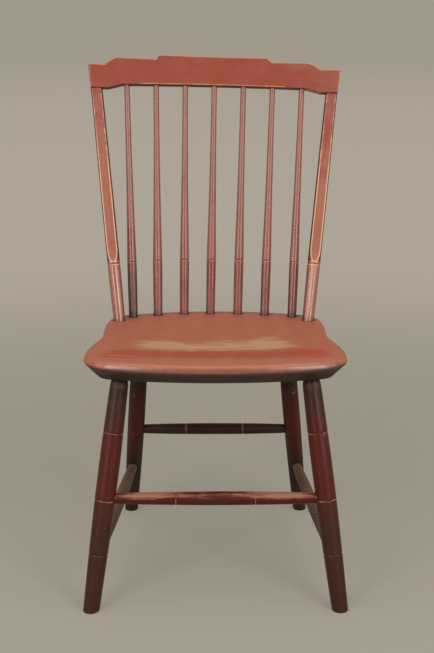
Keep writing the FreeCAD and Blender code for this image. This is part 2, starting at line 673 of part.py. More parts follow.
def make_chair():
    """Every piece of the chair by name, as it stands on the floor."""
    crest = CrestShape()
    legs = make_legs()
    stretchers = make_stretchers(legs)
    left_base, right_base = POST_BASES
    posts = {"left": Post(-1, left_base, crest), "right": Post(1, right_base, crest)}
    spindles = make_spindles(crest)
    pieces = {}

    seat_sockets = [rod.seat_socket() for rod in [*legs.values(), *posts.values(), *spindles]]
    pieces["seat"] = seat_plank().cut(seat_sockets)

    leg_sockets = {name: [] for name in legs}
    for name, (ends, stretcher) in stretchers.items():
        pieces[name + "_stretcher"] = stretcher.solid()
        for end, hollow in zip(ends, stretcher.sockets()):
            leg_sockets[end].append(hollow)
    for name, leg in legs.items():
        pieces[name + "_leg"] = leg.solid().cut(leg_sockets[name])

    board = crest.bent_board()
    crest_cuts = [rod.crest_socket() for rod in [*posts.values(), *spindles]]
    for name, post in posts.items():
        pieces[name + "_back_post"] = post.solid()
        pieces[name + "_crest_peg"] = post.peg_bar().common(board)
        crest_cuts.append(post.peg_bar(GLUE_GAP))
    for number, spindle in enumerate(spindles, 1):
        pieces["spindle_" + str(number)] = spindle.solid()
    pieces["crest_rail"] = crest.solid().cut(crest_cuts)
    return pieces


def export(pieces):
    """Moves the chair over its origin and writes one file for each piece."""
    boxes = [shape.optimalBoundingBox(False, False) for shape in pieces.values()]
    middle_x = (min(box.XMin for box in boxes) + max(box.XMax for box in boxes)) / 2
    middle_y = (min(box.YMin for box in boxes) + max(box.YMax for box in boxes)) / 2
    print("the origin moves to", round(middle_x, 3), round(middle_y, 3))
    os.makedirs("parts", exist_ok=True)
    for name, shape in sorted(pieces.items()):
        solid = shape.Solids[0]
        solid.translate(Vector(-middle_x, -middle_y, 0))
        box = solid.optimalBoundingBox(False, False)
        size = [round(length, 1) for length in (box.XLength, box.YLength, box.ZLength)]
        print(name, len(shape.Solids), solid.isValid(), round(solid.Volume), size)
        solid.exportStep("parts/" + name + ".step")


export(make_chair())
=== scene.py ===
# %% [markdown]
# # A painted Windsor side chair
# Old chairs of this kind have a plank seat, turned legs and stretchers, and a back of thin spindles
# between two posts under a sawn crest rail. Everything was painted red, and a few thin ochre lines
# picked out the rings and edges. The lesson starts from the measured CAD frame and makes a finer,
# painted piece for each of its solids. All sizes in this file are in millimetres, as a joiner would
# write them, and become metres only when a mesh is finished.

# %% Load the measured frame
from math import copysign, cos, hypot, pi, radians, sin, sqrt, tan

import bmesh
import bpy
import numpy as np
from mathutils import Matrix, Vector
from mathutils.bvhtree import BVHTree


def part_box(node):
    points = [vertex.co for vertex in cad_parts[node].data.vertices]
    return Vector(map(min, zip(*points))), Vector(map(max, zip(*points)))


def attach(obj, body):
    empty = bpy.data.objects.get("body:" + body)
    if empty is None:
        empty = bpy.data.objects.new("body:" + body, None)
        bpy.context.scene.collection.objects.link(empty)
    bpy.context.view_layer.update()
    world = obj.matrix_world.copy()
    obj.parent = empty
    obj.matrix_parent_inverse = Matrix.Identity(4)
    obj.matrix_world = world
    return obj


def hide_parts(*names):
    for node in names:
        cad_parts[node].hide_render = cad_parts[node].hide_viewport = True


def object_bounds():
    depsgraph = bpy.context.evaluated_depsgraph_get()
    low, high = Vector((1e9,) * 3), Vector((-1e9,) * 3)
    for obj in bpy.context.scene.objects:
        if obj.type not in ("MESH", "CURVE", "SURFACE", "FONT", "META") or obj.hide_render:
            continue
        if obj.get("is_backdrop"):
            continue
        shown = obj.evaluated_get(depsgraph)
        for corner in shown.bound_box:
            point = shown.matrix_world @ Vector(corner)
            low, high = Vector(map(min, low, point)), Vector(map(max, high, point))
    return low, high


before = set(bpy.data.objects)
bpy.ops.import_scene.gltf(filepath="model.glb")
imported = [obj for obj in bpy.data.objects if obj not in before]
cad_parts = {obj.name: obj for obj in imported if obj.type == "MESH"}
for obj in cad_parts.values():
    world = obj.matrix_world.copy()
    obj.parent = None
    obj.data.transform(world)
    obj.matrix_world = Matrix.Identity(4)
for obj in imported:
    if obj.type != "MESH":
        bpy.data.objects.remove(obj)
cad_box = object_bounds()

print("CAD nodes:", len(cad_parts))

# %% [markdown]
# ## Where things are
# The frame's origin is under the middle of the whole chair, but a chairmaker measures from the
# front edge of the seat. `place` turns such a measure into a point of the frame.

# %% The maker's coordinates
FRONT_EDGE = 220.256  # the seat's front edge is this far in front of the origin
SEAT_TOP = 432.0
SEAT_UNDER = 389.0


def place(x, y, z):
    return Vector((x, y - FRONT_EDGE, z))


seat_low, seat_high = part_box("seat")
print("seat, mm:", [round(1000 * (high - low)) for low, high in zip(seat_low, seat_high)])

# %% [markdown]
# ## The camera
# The picture was taken from a little above the crest, two metres in front, with a long lens.
# The position and the three angles were found by matching corners of the chair to the picture.

# %% Camera
PHOTO_HEIGHT = 653
FOCAL_PIXELS = 1177.7
CAMERA_AT = place(-15.4, -1840.2, 979.3)
PITCH, YAW, ROLL = radians(14.62), radians(0.53), radians(0.07)

ahead = Vector((sin(YAW) * cos(PITCH), cos(YAW) * cos(PITCH), -sin(PITCH)))
level = Vector((cos(YAW), -sin(YAW), 0))
upward = level.cross(ahead)
right = level * cos(ROLL) + upward * sin(ROLL)
up = upward * cos(ROLL) - level * sin(ROLL)

lens = bpy.data.cameras.new("camera")
lens.sensor_width = 36
lens.lens = 36 * FOCAL_PIXELS / PHOTO_HEIGHT
camera = bpy.data.objects.new("camera", lens)
turn = Matrix((right, up, -ahead)).transposed().to_4x4()
camera.matrix_world = Matrix.Translation(CAMERA_AT / 1000) @ turn
bpy.context.collection.objects.link(camera)
bpy.context.scene.camera = camera
print("lens, mm:", round(lens.lens, 1))

# %% [markdown]
# ## Writing node trees briefly
# Paint, floor and lathe are all node trees. `Tree` is a small helper, so that each recipe below
# reads as a list of what it mixes rather than as a page of links.


# %% A short way to write nodes
class Tree:
    def __init__(self, tree):
        self.tree = tree

    def feed(self, node, socket, value):
        """Links a socket to another socket, or sets its value."""
        if isinstance(value, bpy.types.NodeSocket):
            self.tree.links.new(value, node.inputs[socket])
        else:
            node.inputs[socket].default_value = value

    def add(self, kind, inputs=None, **settings):
        node = self.tree.nodes.new(kind)
        for name, value in settings.items():
            setattr(node, name, value)
        for socket, value in (inputs or {}).items():
            self.feed(node, socket, value)
        return node

    def math(self, operation, *values):
        return self.add("ShaderNodeMath", dict(enumerate(values)), operation=operation).outputs[0]

    def plus(self, *values):
        total = values[0]
        for value in values[1:]:
            total = self.math("ADD", total, value)
        return total

    def times(self, first, second):
        return self.math("MULTIPLY", first, second)

    def vector(self, operation, first, second):
        inputs = {0: first, ("Scale" if operation == "SCALE" else 1): second}
        return self.add("ShaderNodeVectorMath", inputs, operation=operation).outputs[0]

    def smooth(self, value, low, high, start=0.0, end=1.0):
        """Rises softly from start to end while value goes from low to high."""
        inputs = {0: value, 1: low, 2: high, 3: start, 4: end}
        return self.add("ShaderNodeMapRange", inputs, interpolation_type="SMOOTHSTEP").outputs[0]

    def noise(self, vector, scale, detail=2.0, roughness=0.5):
        inputs = {"Vector": vector, "Scale": scale, "Detail": detail, "Roughness": roughness}
        return self.add("ShaderNodeTexNoise", inputs).outputs[0]

    def around_zero(self, noise, amount):
        """Noise moved to the middle, so that it adds as often as it takes away."""
        return self.times(self.math("SUBTRACT", noise, 0.5), amount)

    def blend(self, share, first, second, mode="MIX"):
        """Mixes two colours."""
        inputs = {0: share, 6: first, 7: second}
        return self.add("ShaderNodeMix", inputs, data_type="RGBA", blend_type=mode).outputs[2]


def srgb(red, green, blue):
    """A colour as it looks on a screen, 0 to 255, made linear for the shader."""
    def linear(value):
        value /= 255
        return value / 12.92 if value <= 0.04045 else ((value + 0.055) / 1.055) ** 2.4
    return (linear(red), linear(green), linear(blue), 1.0)


def new_material(name):
    material = bpy.data.materials.new(name)
    material.use_nodes = True
    material.node_tree.nodes.clear()
    return material, Tree(material.node_tree)


print("a linear red:", [round(value, 3) for value in srgb(150, 70, 58)])

# %% [markdown]
# ## Floor and backdrop
# A studio sweep has no corner. Here the floor is one large round sheet. Close to the chair it is
# plain matt card that keeps the soft shadow, and farther out its colour passes over into that of
# the world behind it, so no horizon shows from any side. The card's own faint glow stands for the
# light that a pale room sends into the shadow.

# %% Floor
BACKDROP = srgb(161, 154, 140)
FAR_SWEEP = srgb(172, 164, 151)
NEAR_SWEEP = srgb(165, 158, 145)
CARD = srgb(180, 173, 160)


def seen_ray(tree):
    """1 for rays that show a colour: from the camera, or by way of gloss or glass."""
    path = tree.add("ShaderNodeLightPath").outputs
    seen = tree.math("MAXIMUM", path["Is Camera Ray"], path["Is Glossy Ray"])
    return tree.math("MAXIMUM", seen, path["Is Transmission Ray"])


def floor_material():
    material, tree = new_material("studio_floor")
    here = tree.add("ShaderNodeTexCoord").outputs["Object"]
    distance = tree.add("ShaderNodeVectorMath", {0: here}, operation="LENGTH").outputs["Value"]
    mottle = tree.noise(here, 2.2, 2.0)
    darker = [0.96 * value for value in CARD[:3]] + [1]
    card = tree.add("ShaderNodeBsdfDiffuse", {"Color": tree.blend(mottle, CARD, darker)})
    sweep = tree.blend(tree.smooth(distance, 0.8, 3.0), NEAR_SWEEP, FAR_SWEEP)
    sweep = tree.blend(tree.smooth(distance, 5.0, 28.0), sweep, BACKDROP)
    glow = tree.add("ShaderNodeEmission", {"Color": sweep})
    share = tree.times(tree.smooth(distance, 0.5, 2.6, 0.5, 1.0), seen_ray(tree))
    mixed = tree.add("ShaderNodeMixShader", {0: share, 1: card.outputs[0], 2: glow.outputs[0]})
    tree.add("ShaderNodeOutputMaterial", {"Surface": mixed.outputs[0]})
    return material


bpy.ops.mesh.primitive_circle_add(vertices=96, radius=40, fill_type="NGON")
floor = bpy.context.object
floor.name = "floor"
floor.data.materials.append(floor_material())
floor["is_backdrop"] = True
print("floor, m across:", round(floor.dimensions.x))

# %% [markdown]
# ## Light
# Two tall soft boxes stand in front, a little to each side. They draw the two bright stripes down
# every spindle and the gloss on the seat's rolled edge. A weaker box at each side and one overhead
# soften the shadows, and an even world fills them. Together they light a surface at about the
# level at which its colour is written.

# %% Lamps
CHAIR_MIDDLE = Vector((0, 0, 0.5))


def soft_box(name, azimuth, elevation, distance, size, power):
    """Azimuth 0 is straight in front of the chair and grows to the right."""
    turned, raised = radians(azimuth), radians(elevation)
    way = Vector((sin(turned) * cos(raised), -cos(turned) * cos(raised), sin(raised)))
    lamp = bpy.data.lights.new(name, "AREA")
    lamp.shape = "RECTANGLE"
    lamp.size, lamp.size_y = size
    lamp.energy = power
    box = bpy.data.objects.new(name, lamp)
    facing = way.to_track_quat("Z", "Y").to_matrix().to_4x4()
    box.matrix_world = Matrix.Translation(CHAIR_MIDDLE + way * distance) @ facing
    bpy.context.collection.objects.link(box)
    print(name, [round(value, 2) for value in box.matrix_world.translation])


soft_box("left_front_box", -36, 26, 3.2, (1.1, 2.4), 36)
soft_box("right_front_box", 36, 26, 3.2, (1.1, 2.4), 40)
soft_box("left_side_box", -68, 22, 3.0, (1.4, 1.8), 12)
soft_box("right_side_box", 68, 22, 3.0, (1.4, 1.8), 12)
soft_box("overhead_box", 0, 78, 2.5, (2.6, 2.0), 13)

# %% World
world = bpy.data.worlds.new("studio")
bpy.context.scene.world = world
world.use_nodes = True
world.node_tree.nodes.clear()
sky = Tree(world.node_tree)
fill = sky.add("ShaderNodeBackground", {"Color": srgb(225, 222, 216), "Strength": 0.32})
back = sky.add("ShaderNodeBackground", {"Color": BACKDROP, "Strength": 1.0})
both = sky.add("ShaderNodeMixShader", {0: seen_ray(sky), 1: fill.outputs[0], 2: back.outputs[0]})
sky.add("ShaderNodeOutputWorld", {"Surface": both.outputs[0]})
bpy.context.scene.view_settings.view_transform = "Standard"
print("lamps:", len(bpy.data.lights))

# %% [markdown]
# ## Old red paint
# Long use leaves a paint that is never one colour. It has been rubbed thin along the grain where
# hands and clothes touch it, dirt has settled where nothing rubs, and the thin decorative lines
# are broken. The dark of the dirt is also painted on as shade under, behind and beside things. The
# recipe reads what each piece says about itself:
# * `grain` is a point in the piece's own wood, with Z along the grain,
# * `fade`, `wear`, `grime` and `dust` say how much of each is there, before noise breaks them up,
#   and `grime` stands for painted shade as well as dirt,
# * `edge` is the distance in millimetres to the middle of a painted line, and `kept` is how much of
#   that line is left,
# * `fleck` is where small flecks of an older coat show, and `polish` is where touch made it glossy.

# %% What the paint reads
FAR_OFF = 99.0  # stands for nowhere near
PAINT_DATA = {"fade": 0.0, "wear": 0.0, "grime": 0.0, "dust": 0.0, "edge": FAR_OFF, "kept": 1.0,
              "fleck": 0.0, "polish": 0.0}
# the dark of dirt, which is also painted on as shade
DIRT_AND_SHADE = srgb(30, 20, 15)
DUST = srgb(124, 99, 84)
FLECK = srgb(216, 160, 96)


def attribute(tree, name, output="Fac"):
    return tree.add("ShaderNodeAttribute", attribute_name=name).outputs[output]


class Grain:
    """The noises that every finish shares: clouds, streaks along the grain, and brush marks."""

    def __init__(self, tree):
        self.at = attribute(tree, "grain", "Vector")
        drawn_out = tree.vector("MULTIPLY", self.at, (1.0, 1.0, 0.09))
        self.coat = tree.noise(self.at, 14.0, 4.0, 0.6)
        self.streaks = tree.noise(drawn_out, 160.0, 3.0, 0.6)
        self.brush = tree.noise(drawn_out, 700.0, 2.0, 0.5)


def broken_up(tree, name, noise, amount):
    """What the piece says of itself under this name, made uneven by noise."""
    return tree.plus(attribute(tree, name), tree.around_zero(noise, amount))


print("the paint reads:", sorted(PAINT_DATA))


# %% The coat and where it is rubbed away
def coat_colour(tree, grain, fresh, faded, streak):
    """Two tones in clouds and along the grain, with fine brush marks."""
    tone = tree.plus(tree.times(grain.coat, 1.0 - streak), tree.times(grain.streaks, streak))
    tone = tree.plus(tone, tree.times(attribute(tree, "fade"), 0.28))
    colour = tree.blend(tree.smooth(tone, 0.38, 0.64), fresh, faded)
    shade = tree.smooth(grain.brush, 0.3, 0.7, 0.92, 1.06)
    grey = tree.add("ShaderNodeCombineColor", {0: shade, 1: shade, 2: shade}).outputs[0]
    return tree.blend(1.0, colour, grey, "MULTIPLY")


def rubbed_share(tree, grain):
    """Where the coat is rubbed through to the wood or the undercoat."""
    rub = broken_up(tree, "wear", grain.streaks, 1.1)
    return tree.smooth(tree.plus(rub, tree.around_zero(grain.coat, 0.9)), 0.36, 0.78)


print("wear rises from 0 to 1, and noise breaks it up")


# %% Painted lines and flecks
def line_share(tree, grain, half):
    """The painted line: ragged at its sides and worn off here and there."""
    gap = tree.math("ABSOLUTE", attribute(tree, "edge"))
    gap = tree.plus(gap, tree.around_zero(tree.noise(grain.at, 420.0, 2.0), 0.9))
    drawn = tree.smooth(gap, half - 0.35, half + 0.35, 1.0, 0.0)
    worn = broken_up(tree, "kept", tree.noise(grain.at, 60.0, 5.0, 0.7), 1.5)
    return tree.times(drawn, tree.smooth(worn, 0.25, 0.75))


def fleck_share(tree, grain):
    """Small round flecks, only where the piece asks for them."""
    cells = tree.add("ShaderNodeTexVoronoi", {"Vector": grain.at, "Scale": 170.0})
    dots = tree.smooth(cells.outputs["Distance"], 0.12, 0.26, 1.0, 0.0)
    some = broken_up(tree, "fleck", tree.noise(grain.at, 90.0, 1.0), 2.2)
    return tree.times(dots, tree.smooth(some, 0.55, 0.75))


print("a line is one to two millimetres wide, a fleck one")


# %% The whole finish
MOST_DIRT_AND_SHADE, MOST_DUST = 0.94, 0.85  # neither layer hides the paint altogether
RELIEF = 0.0006  # metres from the lowest to the highest paint
COAT_ROUGHNESS = 0.24


def paint(name, fresh, faded, bare, line, gloss, streak=0.35, line_half=0.9, shine=0.5, varnish=0.5):
    material, tree = new_material(name)
    grain = Grain(tree)
    colour = coat_colour(tree, grain, fresh, faded, streak)
    rubbed = rubbed_share(tree, grain)
    colour = tree.blend(rubbed, colour, bare)
    drawn = line_share(tree, grain, line_half)
    colour = tree.blend(drawn, colour, line)
    colour = tree.blend(fleck_share(tree, grain), colour, FLECK)
    # dirt, and painted shade under, behind and beside things
    dirt_and_shade = broken_up(tree, "grime", grain.coat, 0.7)
    dirt_and_shade = tree.smooth(dirt_and_shade, 0.2, 0.95, 0.0, MOST_DIRT_AND_SHADE)
    colour = tree.blend(dirt_and_shade, colour, DIRT_AND_SHADE)
    dusty = broken_up(tree, "dust", tree.noise(grain.at, 70.0, 4.0, 0.65), 0.7)
    dusty = tree.smooth(dusty, 0.2, 1.0, 0.0, MOST_DUST)
    colour = tree.blend(dusty, colour, DUST)

    polish = attribute(tree, "polish")
    rough = tree.plus(tree.smooth(grain.coat, 0.3, 0.7, gloss - 0.04, gloss + 0.05),
                      tree.times(rubbed, 0.10), tree.times(dusty, 0.30), tree.times(dirt_and_shade, 0.22),
                      tree.times(polish, -0.28))
    height = tree.plus(tree.times(grain.streaks, 0.5), tree.times(grain.brush, 0.2),
                       tree.times(rubbed, -0.25), tree.times(drawn, 0.3))
    bump = tree.add("ShaderNodeBump", {"Strength": 0.1, "Distance": RELIEF, "Height": height})
    shader = tree.add("ShaderNodeBsdfPrincipled", {
        "Base Color": colour, "Roughness": rough, "Normal": bump.outputs[0],
        "Specular IOR Level": shine, "Coat Weight": tree.plus(varnish, polish),
        "Coat Roughness": COAT_ROUGHNESS})
    tree.add("ShaderNodeOutputMaterial", {"Surface": shader.outputs[0]})
    return material


OCHRE = srgb(196, 138, 80)
# paler than the crest's ochre, partly a painted highlight of the glint on the posts' arrises
PALE_OCHRE_AND_GLINT = srgb(226, 172, 122)
CREAM = srgb(196, 150, 128)
BARE_WOOD = srgb(178, 130, 102)
crest_paint = paint("red_paint_crest", srgb(150, 64, 45), srgb(150, 82, 62), BARE_WOOD, OCHRE, 0.4,
                    streak=0.22, shine=0.4, varnish=0.04)
post_paint = paint("red_paint_posts", srgb(146, 64, 46), srgb(164, 96, 74), srgb(214, 164, 134),
                   PALE_OCHRE_AND_GLINT, 0.36, varnish=0.4)
rod_paint = paint("red_paint_spindles", srgb(128, 60, 44), srgb(150, 84, 66), BARE_WOOD, OCHRE, 0.3,
                  line_half=0.45, varnish=0.6)
seat_paint = paint("red_paint_seat", srgb(180, 78, 50), srgb(180, 103, 76), srgb(198, 152, 120), CREAM,
                   0.52, streak=0.5, line_half=0.7, shine=0.4, varnish=0.04)
leg_paint = paint("red_paint_legs", srgb(82, 20, 11), srgb(63, 28, 20), srgb(158, 108, 80), CREAM, 0.42,
                  line_half=0.6, shine=0.26, varnish=0.1)
peg_wood = paint("peg_end_grain", srgb(118, 62, 46), srgb(98, 50, 38), BARE_WOOD, OCHRE, 0.55,
                 varnish=0.0)
print("finishes:", [material.name for material in bpy.data.materials])

# %% [markdown]
# ## From points to a finished piece
# `finish_piece` takes a mesh in millimetres with the piece's own numbers on its points, and makes
# the object that stands for a CAD node. Its normals are recalculated, because a shape that is
# swept round or mirrored can come out inside out.


# %% Finish a piece
def set_data(mesh, name, values):
    layer = mesh.attributes.new(name, "FLOAT", "POINT")
    layer.data.foreach_set("value", np.asarray(values, np.float32))


def set_grain(mesh, points):
    """Points in millimetres, with Z along the grain."""
    layer = mesh.attributes.new("grain", "FLOAT_VECTOR", "POINT")
    layer.data.foreach_set("vector", (points / 1000).astype(np.float32).ravel())


def finish_piece(name, mesh, material, data):
    count = len(mesh.vertices)
    for key, plain in PAINT_DATA.items():
        set_data(mesh, key, np.broadcast_to(data.get(key, plain), count))
    mesh.transform(Matrix.Scale(0.001, 4))
    shape = bmesh.new()
    shape.from_mesh(mesh)
    bmesh.ops.remove_doubles(shape, verts=shape.verts, dist=2e-6)
    bmesh.ops.dissolve_degenerate(shape, edges=shape.edges, dist=1e-7)
    bmesh.ops.recalc_face_normals(shape, faces=shape.faces)
    shape.to_mesh(mesh)
    shape.free()
    mesh.shade_smooth()
    mesh.materials.clear()
    mesh.materials.append(material)
    piece = bpy.data.objects.new(name, mesh)
    bpy.context.collection.objects.link(piece)
    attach(piece, "root")
    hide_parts(name)
    print(name, "faces:", len(mesh.polygons))


# %% [markdown]
# ## A lathe made of nodes
# Nineteen pieces of the chair came off a lathe, so their shape follows one rule: a template line
# is swept round an axis. The node tree below does that. It lays out a grid with one row for each
# point of the template, rolls the grid into a tube, merges the seam, and shakes the surface by up
# to a quarter of a millimetre, because wood turned by eye is never quite round.

# %% The lathe tree
LATHE_INPUTS = {"Template": "NodeSocketGeometry", "Sides": "NodeSocketInt",
                "Wobble": "NodeSocketFloat", "Seed": "NodeSocketFloat",
                "Material": "NodeSocketMaterial"}


def lathe_tree():
    group = bpy.data.node_groups.new("lathe", "GeometryNodeTree")
    group.interface.new_socket("Geometry", in_out="OUTPUT", socket_type="NodeSocketGeometry")
    for label, kind in LATHE_INPUTS.items():
        group.interface.new_socket(label, in_out="INPUT", socket_type=kind)
    tree = Tree(group)
    given = tree.add("NodeGroupInput").outputs
    size = tree.add("GeometryNodeAttributeDomainSize", {0: given["Template"]}, component="MESH")
    columns = tree.math("ADD", given["Sides"], 1)
    grid_size = {"Vertices X": size.outputs["Point Count"], "Vertices Y": columns}
    grid = tree.add("GeometryNodeMeshGrid", grid_size).outputs["Mesh"]

    # which template point and which turn of the lathe each grid point stands for
    index = tree.add("GeometryNodeInputIndex").outputs[0]
    row = tree.math("FLOOR", tree.math("DIVIDE", tree.math("ADD", index, 0.5), columns))
    column = tree.math("SUBTRACT", index, tree.times(row, columns))
    angle = tree.math("DIVIDE", tree.times(column, 2 * pi), given["Sides"])
    spot = tree.add("GeometryNodeInputPosition").outputs[0]
    wanted = {"Geometry": given["Template"], "Value": spot, "Index": row}
    sample = tree.add("GeometryNodeSampleIndex", wanted, data_type="FLOAT_VECTOR", domain="POINT")
    parts = tree.add("ShaderNodeSeparateXYZ", {0: sample.outputs["Value"]}).outputs

    # roll the grid up, then shake it
    around = {0: tree.math("COSINE", angle), 1: tree.math("SINE", angle)}
    outward = tree.add("ShaderNodeCombineXYZ", around).outputs[0]
    axis = tree.add("ShaderNodeCombineXYZ", {2: parts["Z"]}).outputs[0]
    rolled = tree.vector("ADD", tree.vector("SCALE", outward, parts["X"]), axis)
    stretched = tree.vector("MULTIPLY", rolled, (0.03, 0.03, 0.012))
    shake_inputs = {"Vector": stretched, "W": given["Seed"], "Scale": 1.0, "Detail": 1.0}
    shake = tree.add("ShaderNodeTexNoise", shake_inputs, noise_dimensions="4D").outputs[0]
    push = tree.times(tree.math("SUBTRACT", shake, 0.5), given["Wobble"])
    push = tree.times(push, tree.math("MINIMUM", parts["X"], 1.0))
    shaken = tree.vector("ADD", rolled, tree.vector("SCALE", outward, push))
    moved = tree.add("GeometryNodeSetPosition", {"Geometry": grid, "Position": shaken}).outputs[0]
    merged = tree.add("GeometryNodeMergeByDistance", {"Geometry": moved, "Distance": 0.0005}).outputs[0]
    real = tree.add("GeometryNodeRealizeInstances", {0: merged}).outputs[0]
    final = tree.add("GeometryNodeSetMaterial", {"Geometry": real, "Material": given["Material"]})
    tree.add("NodeGroupOutput", {0: final.outputs[0]})
    return group


LATHE = lathe_tree()
SOCKETS = {item.name: item.identifier for item in LATHE.interface.items_tree if item.in_out == "INPUT"}
print("lathe inputs:", sorted(SOCKETS))


# %% Run a template through the lathe
def turned_mesh(template, sides, wobble, seed, material):
    """The mesh that the lathe makes of a template of (distance, radius), and its points."""
    line = bpy.data.meshes.new("template")
    line.from_pydata([(radius, 0, distance) for distance, radius in template],
                     [(i, i + 1) for i in range(len(template) - 1)], [])
    blank = bpy.data.objects.new("template", line)
    bpy.context.collection.objects.link(blank)
    lathe = blank.modifiers.new("lathe", "NODES")
    lathe.node_group = LATHE
    inputs = {"Sides": sides, "Wobble": wobble, "Seed": seed, "Material": material}
    for name, value in inputs.items():
        lathe[SOCKETS[name]] = value
    bpy.context.view_layer.update()
    ready = blank.evaluated_get(bpy.context.evaluated_depsgraph_get())
    mesh = bpy.data.meshes.new_from_object(ready)
    bpy.data.objects.remove(blank)
    bpy.data.meshes.remove(line)
    points = np.empty(len(mesh.vertices) * 3)
    mesh.vertices.foreach_get("co", points)
    return mesh, points.reshape(-1, 3)


# %% [markdown]
# ## Templates
# A template is a list of (distance along the axis, radius). Between its ends it follows the
# piece's own rule for the radius, and at each ring it dips in a small round groove. Points stand
# close together in the grooves and farther apart elsewhere.

# %% Grooved runs
LEG_GROOVE = (2.6, 0.8)  # width and depth
SLIM_GROOVE = (2.2, 0.7)  # on everything thinner
GROOVE_STEPS = 16


def mix(first, last, share):
    return first + (last - first) * share


def rise(value, low, high):
    """0 below low, 1 above high, and a straight climb between; high may be the smaller one."""
    return np.clip((value - low) / (high - low), 0, 1)


def run(begin, end, radius_at, rings, groove, step=2.0):
    """Template points from begin to end, with a groove at each ring."""
    width, depth = groove
    spread = 0.75 * width  # the lips of a groove are a little soft
    count = max(2, round((end - begin) / step))
    stops = {begin, end} | {mix(begin, end, i / count) for i in range(count + 1)}
    stops = {s for s in stops if all(abs(s - ring) > spread for ring in rings)}
    for ring in rings:
        steps = [i / GROOVE_STEPS for i in range(GROOVE_STEPS + 1)]
        stops.update(mix(ring - spread, ring + spread, share) for share in steps)
    points = []
    for s in sorted(stops):
        near = min([abs(s - ring) / spread for ring in rings] + [1])
        points.append((s, radius_at(s) - depth * (0.5 + 0.5 * cos(pi * near)) ** 0.8))
    return points


def rounded(begin, end, steps=6):
    """Template points of a quarter round from one (distance, radius) to another, full outwards."""
    (s0, r0), (s1, r1) = begin, end
    turns = [i / steps * pi / 2 for i in range(1, steps)]
    if r1 < r0:
        return [(mix(s0, s1, sin(a)), mix(r1, r0, cos(a))) for a in turns]
    return [(mix(s1, s0, cos(a)), mix(r0, r1, sin(a))) for a in turns]


print("points in a groove:", GROOVE_STEPS + 1)


# %% Stand a turned piece in its place
GRAIN_SPREAD = 3.7  # keeps the grain of neighbouring pieces apart


def axes_along(start, end, back):
    """The piece's own X, Y and Z: Z along it, and Y as far back as it can."""
    z_axis = (end - start).normalized()
    x_axis = back.cross(z_axis).normalized()
    return x_axis, z_axis.cross(x_axis), z_axis


def stand(mesh, points, start, axes):
    """Writes the grain, and moves local points to their place on the chair."""
    set_grain(mesh, points + np.array([start.x, start.y, 0.0]) * GRAIN_SPREAD)
    placed = points @ np.array(axes) + np.array(start)
    mesh.vertices.foreach_set("co", placed.ravel())
    mesh.update()


BACKWARD = Vector((0, 1, 0))
UPWARD = Vector((0, 0, 1))
print("local Y points back, or up on a stretcher")


# %% [markdown]
# ## Scratches and scuffs
# Single marks are lines on a piece's own surface: (distance along it, millimetres to the right of
# its middle). Where several lines meet on a point, the nearest one counts, and it brings along how
# well it is kept.


# %% Distance to a mark
LINE_HALF = 0.6  # a mark is given to the paint as if it were a line of this half width


def gap_to_mark(across, along, mark, half):
    """Distance to a broken line of points, scaled so that half comes out as the line's half width."""
    gap = np.full(len(across), FAR_OFF)
    for (s0, x0), (s1, x1) in zip(mark, mark[1:]):
        run_x, run_s = x1 - x0, s1 - s0
        share = ((across - x0) * run_x + (along - s0) * run_s) / (run_x**2 + run_s**2)
        share = np.clip(share, 0, 1)
        gap = np.minimum(gap, np.hypot(across - x0 - share * run_x, along - s0 - share * run_s))
    return gap / half * LINE_HALF


def nearest(lines):
    """From pairs of gap and kept, those of the nearest line at each point."""
    gaps = np.array([gap for gap, kept in lines])
    kepts = np.array([np.broadcast_to(kept, gaps.shape[1]) for gap, kept in lines])
    first = np.abs(gaps).argmin(axis=0)
    columns = np.arange(gaps.shape[1])
    return gaps[first, columns], kepts[first, columns]


print("marks are drawn like painted lines")

# %% [markdown]
# ## Legs
# Each leg swells a little above the middle and draws in again under the seat, where a round
# shoulder leads into its tapered tenon. Three grooves go round it. The foot is sawn level with the
# floor, so the end of the template is slanted until it lies flat, and its rim is worn round. The
# chairmaker bored by eye, so the rear legs don't match to the millimetre.

# %% Sizes of the legs
FRONT_TURNING = {"sizes": (27.9, 35.8, 31.4), "rings": (94.5, 184.0, 296.0), "kept": (0.2, 0.5, 0.4)}
REAR_TURNING = {"sizes": (26.2, 33.0, 30.5), "rings": (112.0, 198.0, 300.0), "kept": (0.05, 0.2, 0.12)}
LEGS = {
    "front_left_leg": ((-162.5, 82.0), (-213.0, -10.7), FRONT_TURNING),
    "front_right_leg": ((162.5, 82.0), (213.0, -10.7), FRONT_TURNING),
    "rear_left_leg": ((-139.2, 293.2), (-170.7, 423.0), REAR_TURNING),
    "rear_right_leg": ((133.2, 293.2), (176.6, 423.0), REAR_TURNING),
}
LEG_MARKS = {  # a mark on the leg, its half width, and how well it is kept
    "front_left_leg": [([(150, 4), (146, 5)], 0.7, 0.4), ([(318, -6), (323, -5)], 0.6, 0.3)],
    "front_right_leg": [([(301, 9), (302, 14)], 0.7, 0.5), ([(99, 2), (104, 4)], 0.6, 0.3),
                        ([(72, -3), (76, -2)], 0.6, 0.3)],
    "rear_left_leg": [([(305, -9), (301, -5), (298, -4)], 0.9, 0.6)],
    "rear_right_leg": [([(306, 5), (310, 12)], 0.9, 0.6), ([(372, 2), (378, 9)], 0.9, 0.6)],
}
FULLEST, SHOULDER, FOOT_EASE = 235.0, 15.0, 1.6
TENON, TENON_TIP, TENON_DEPTH = 24.0, 21.0, 30.0
SHOULDER_GAP = 0.3  # between the plank and the highest point of the shoulder


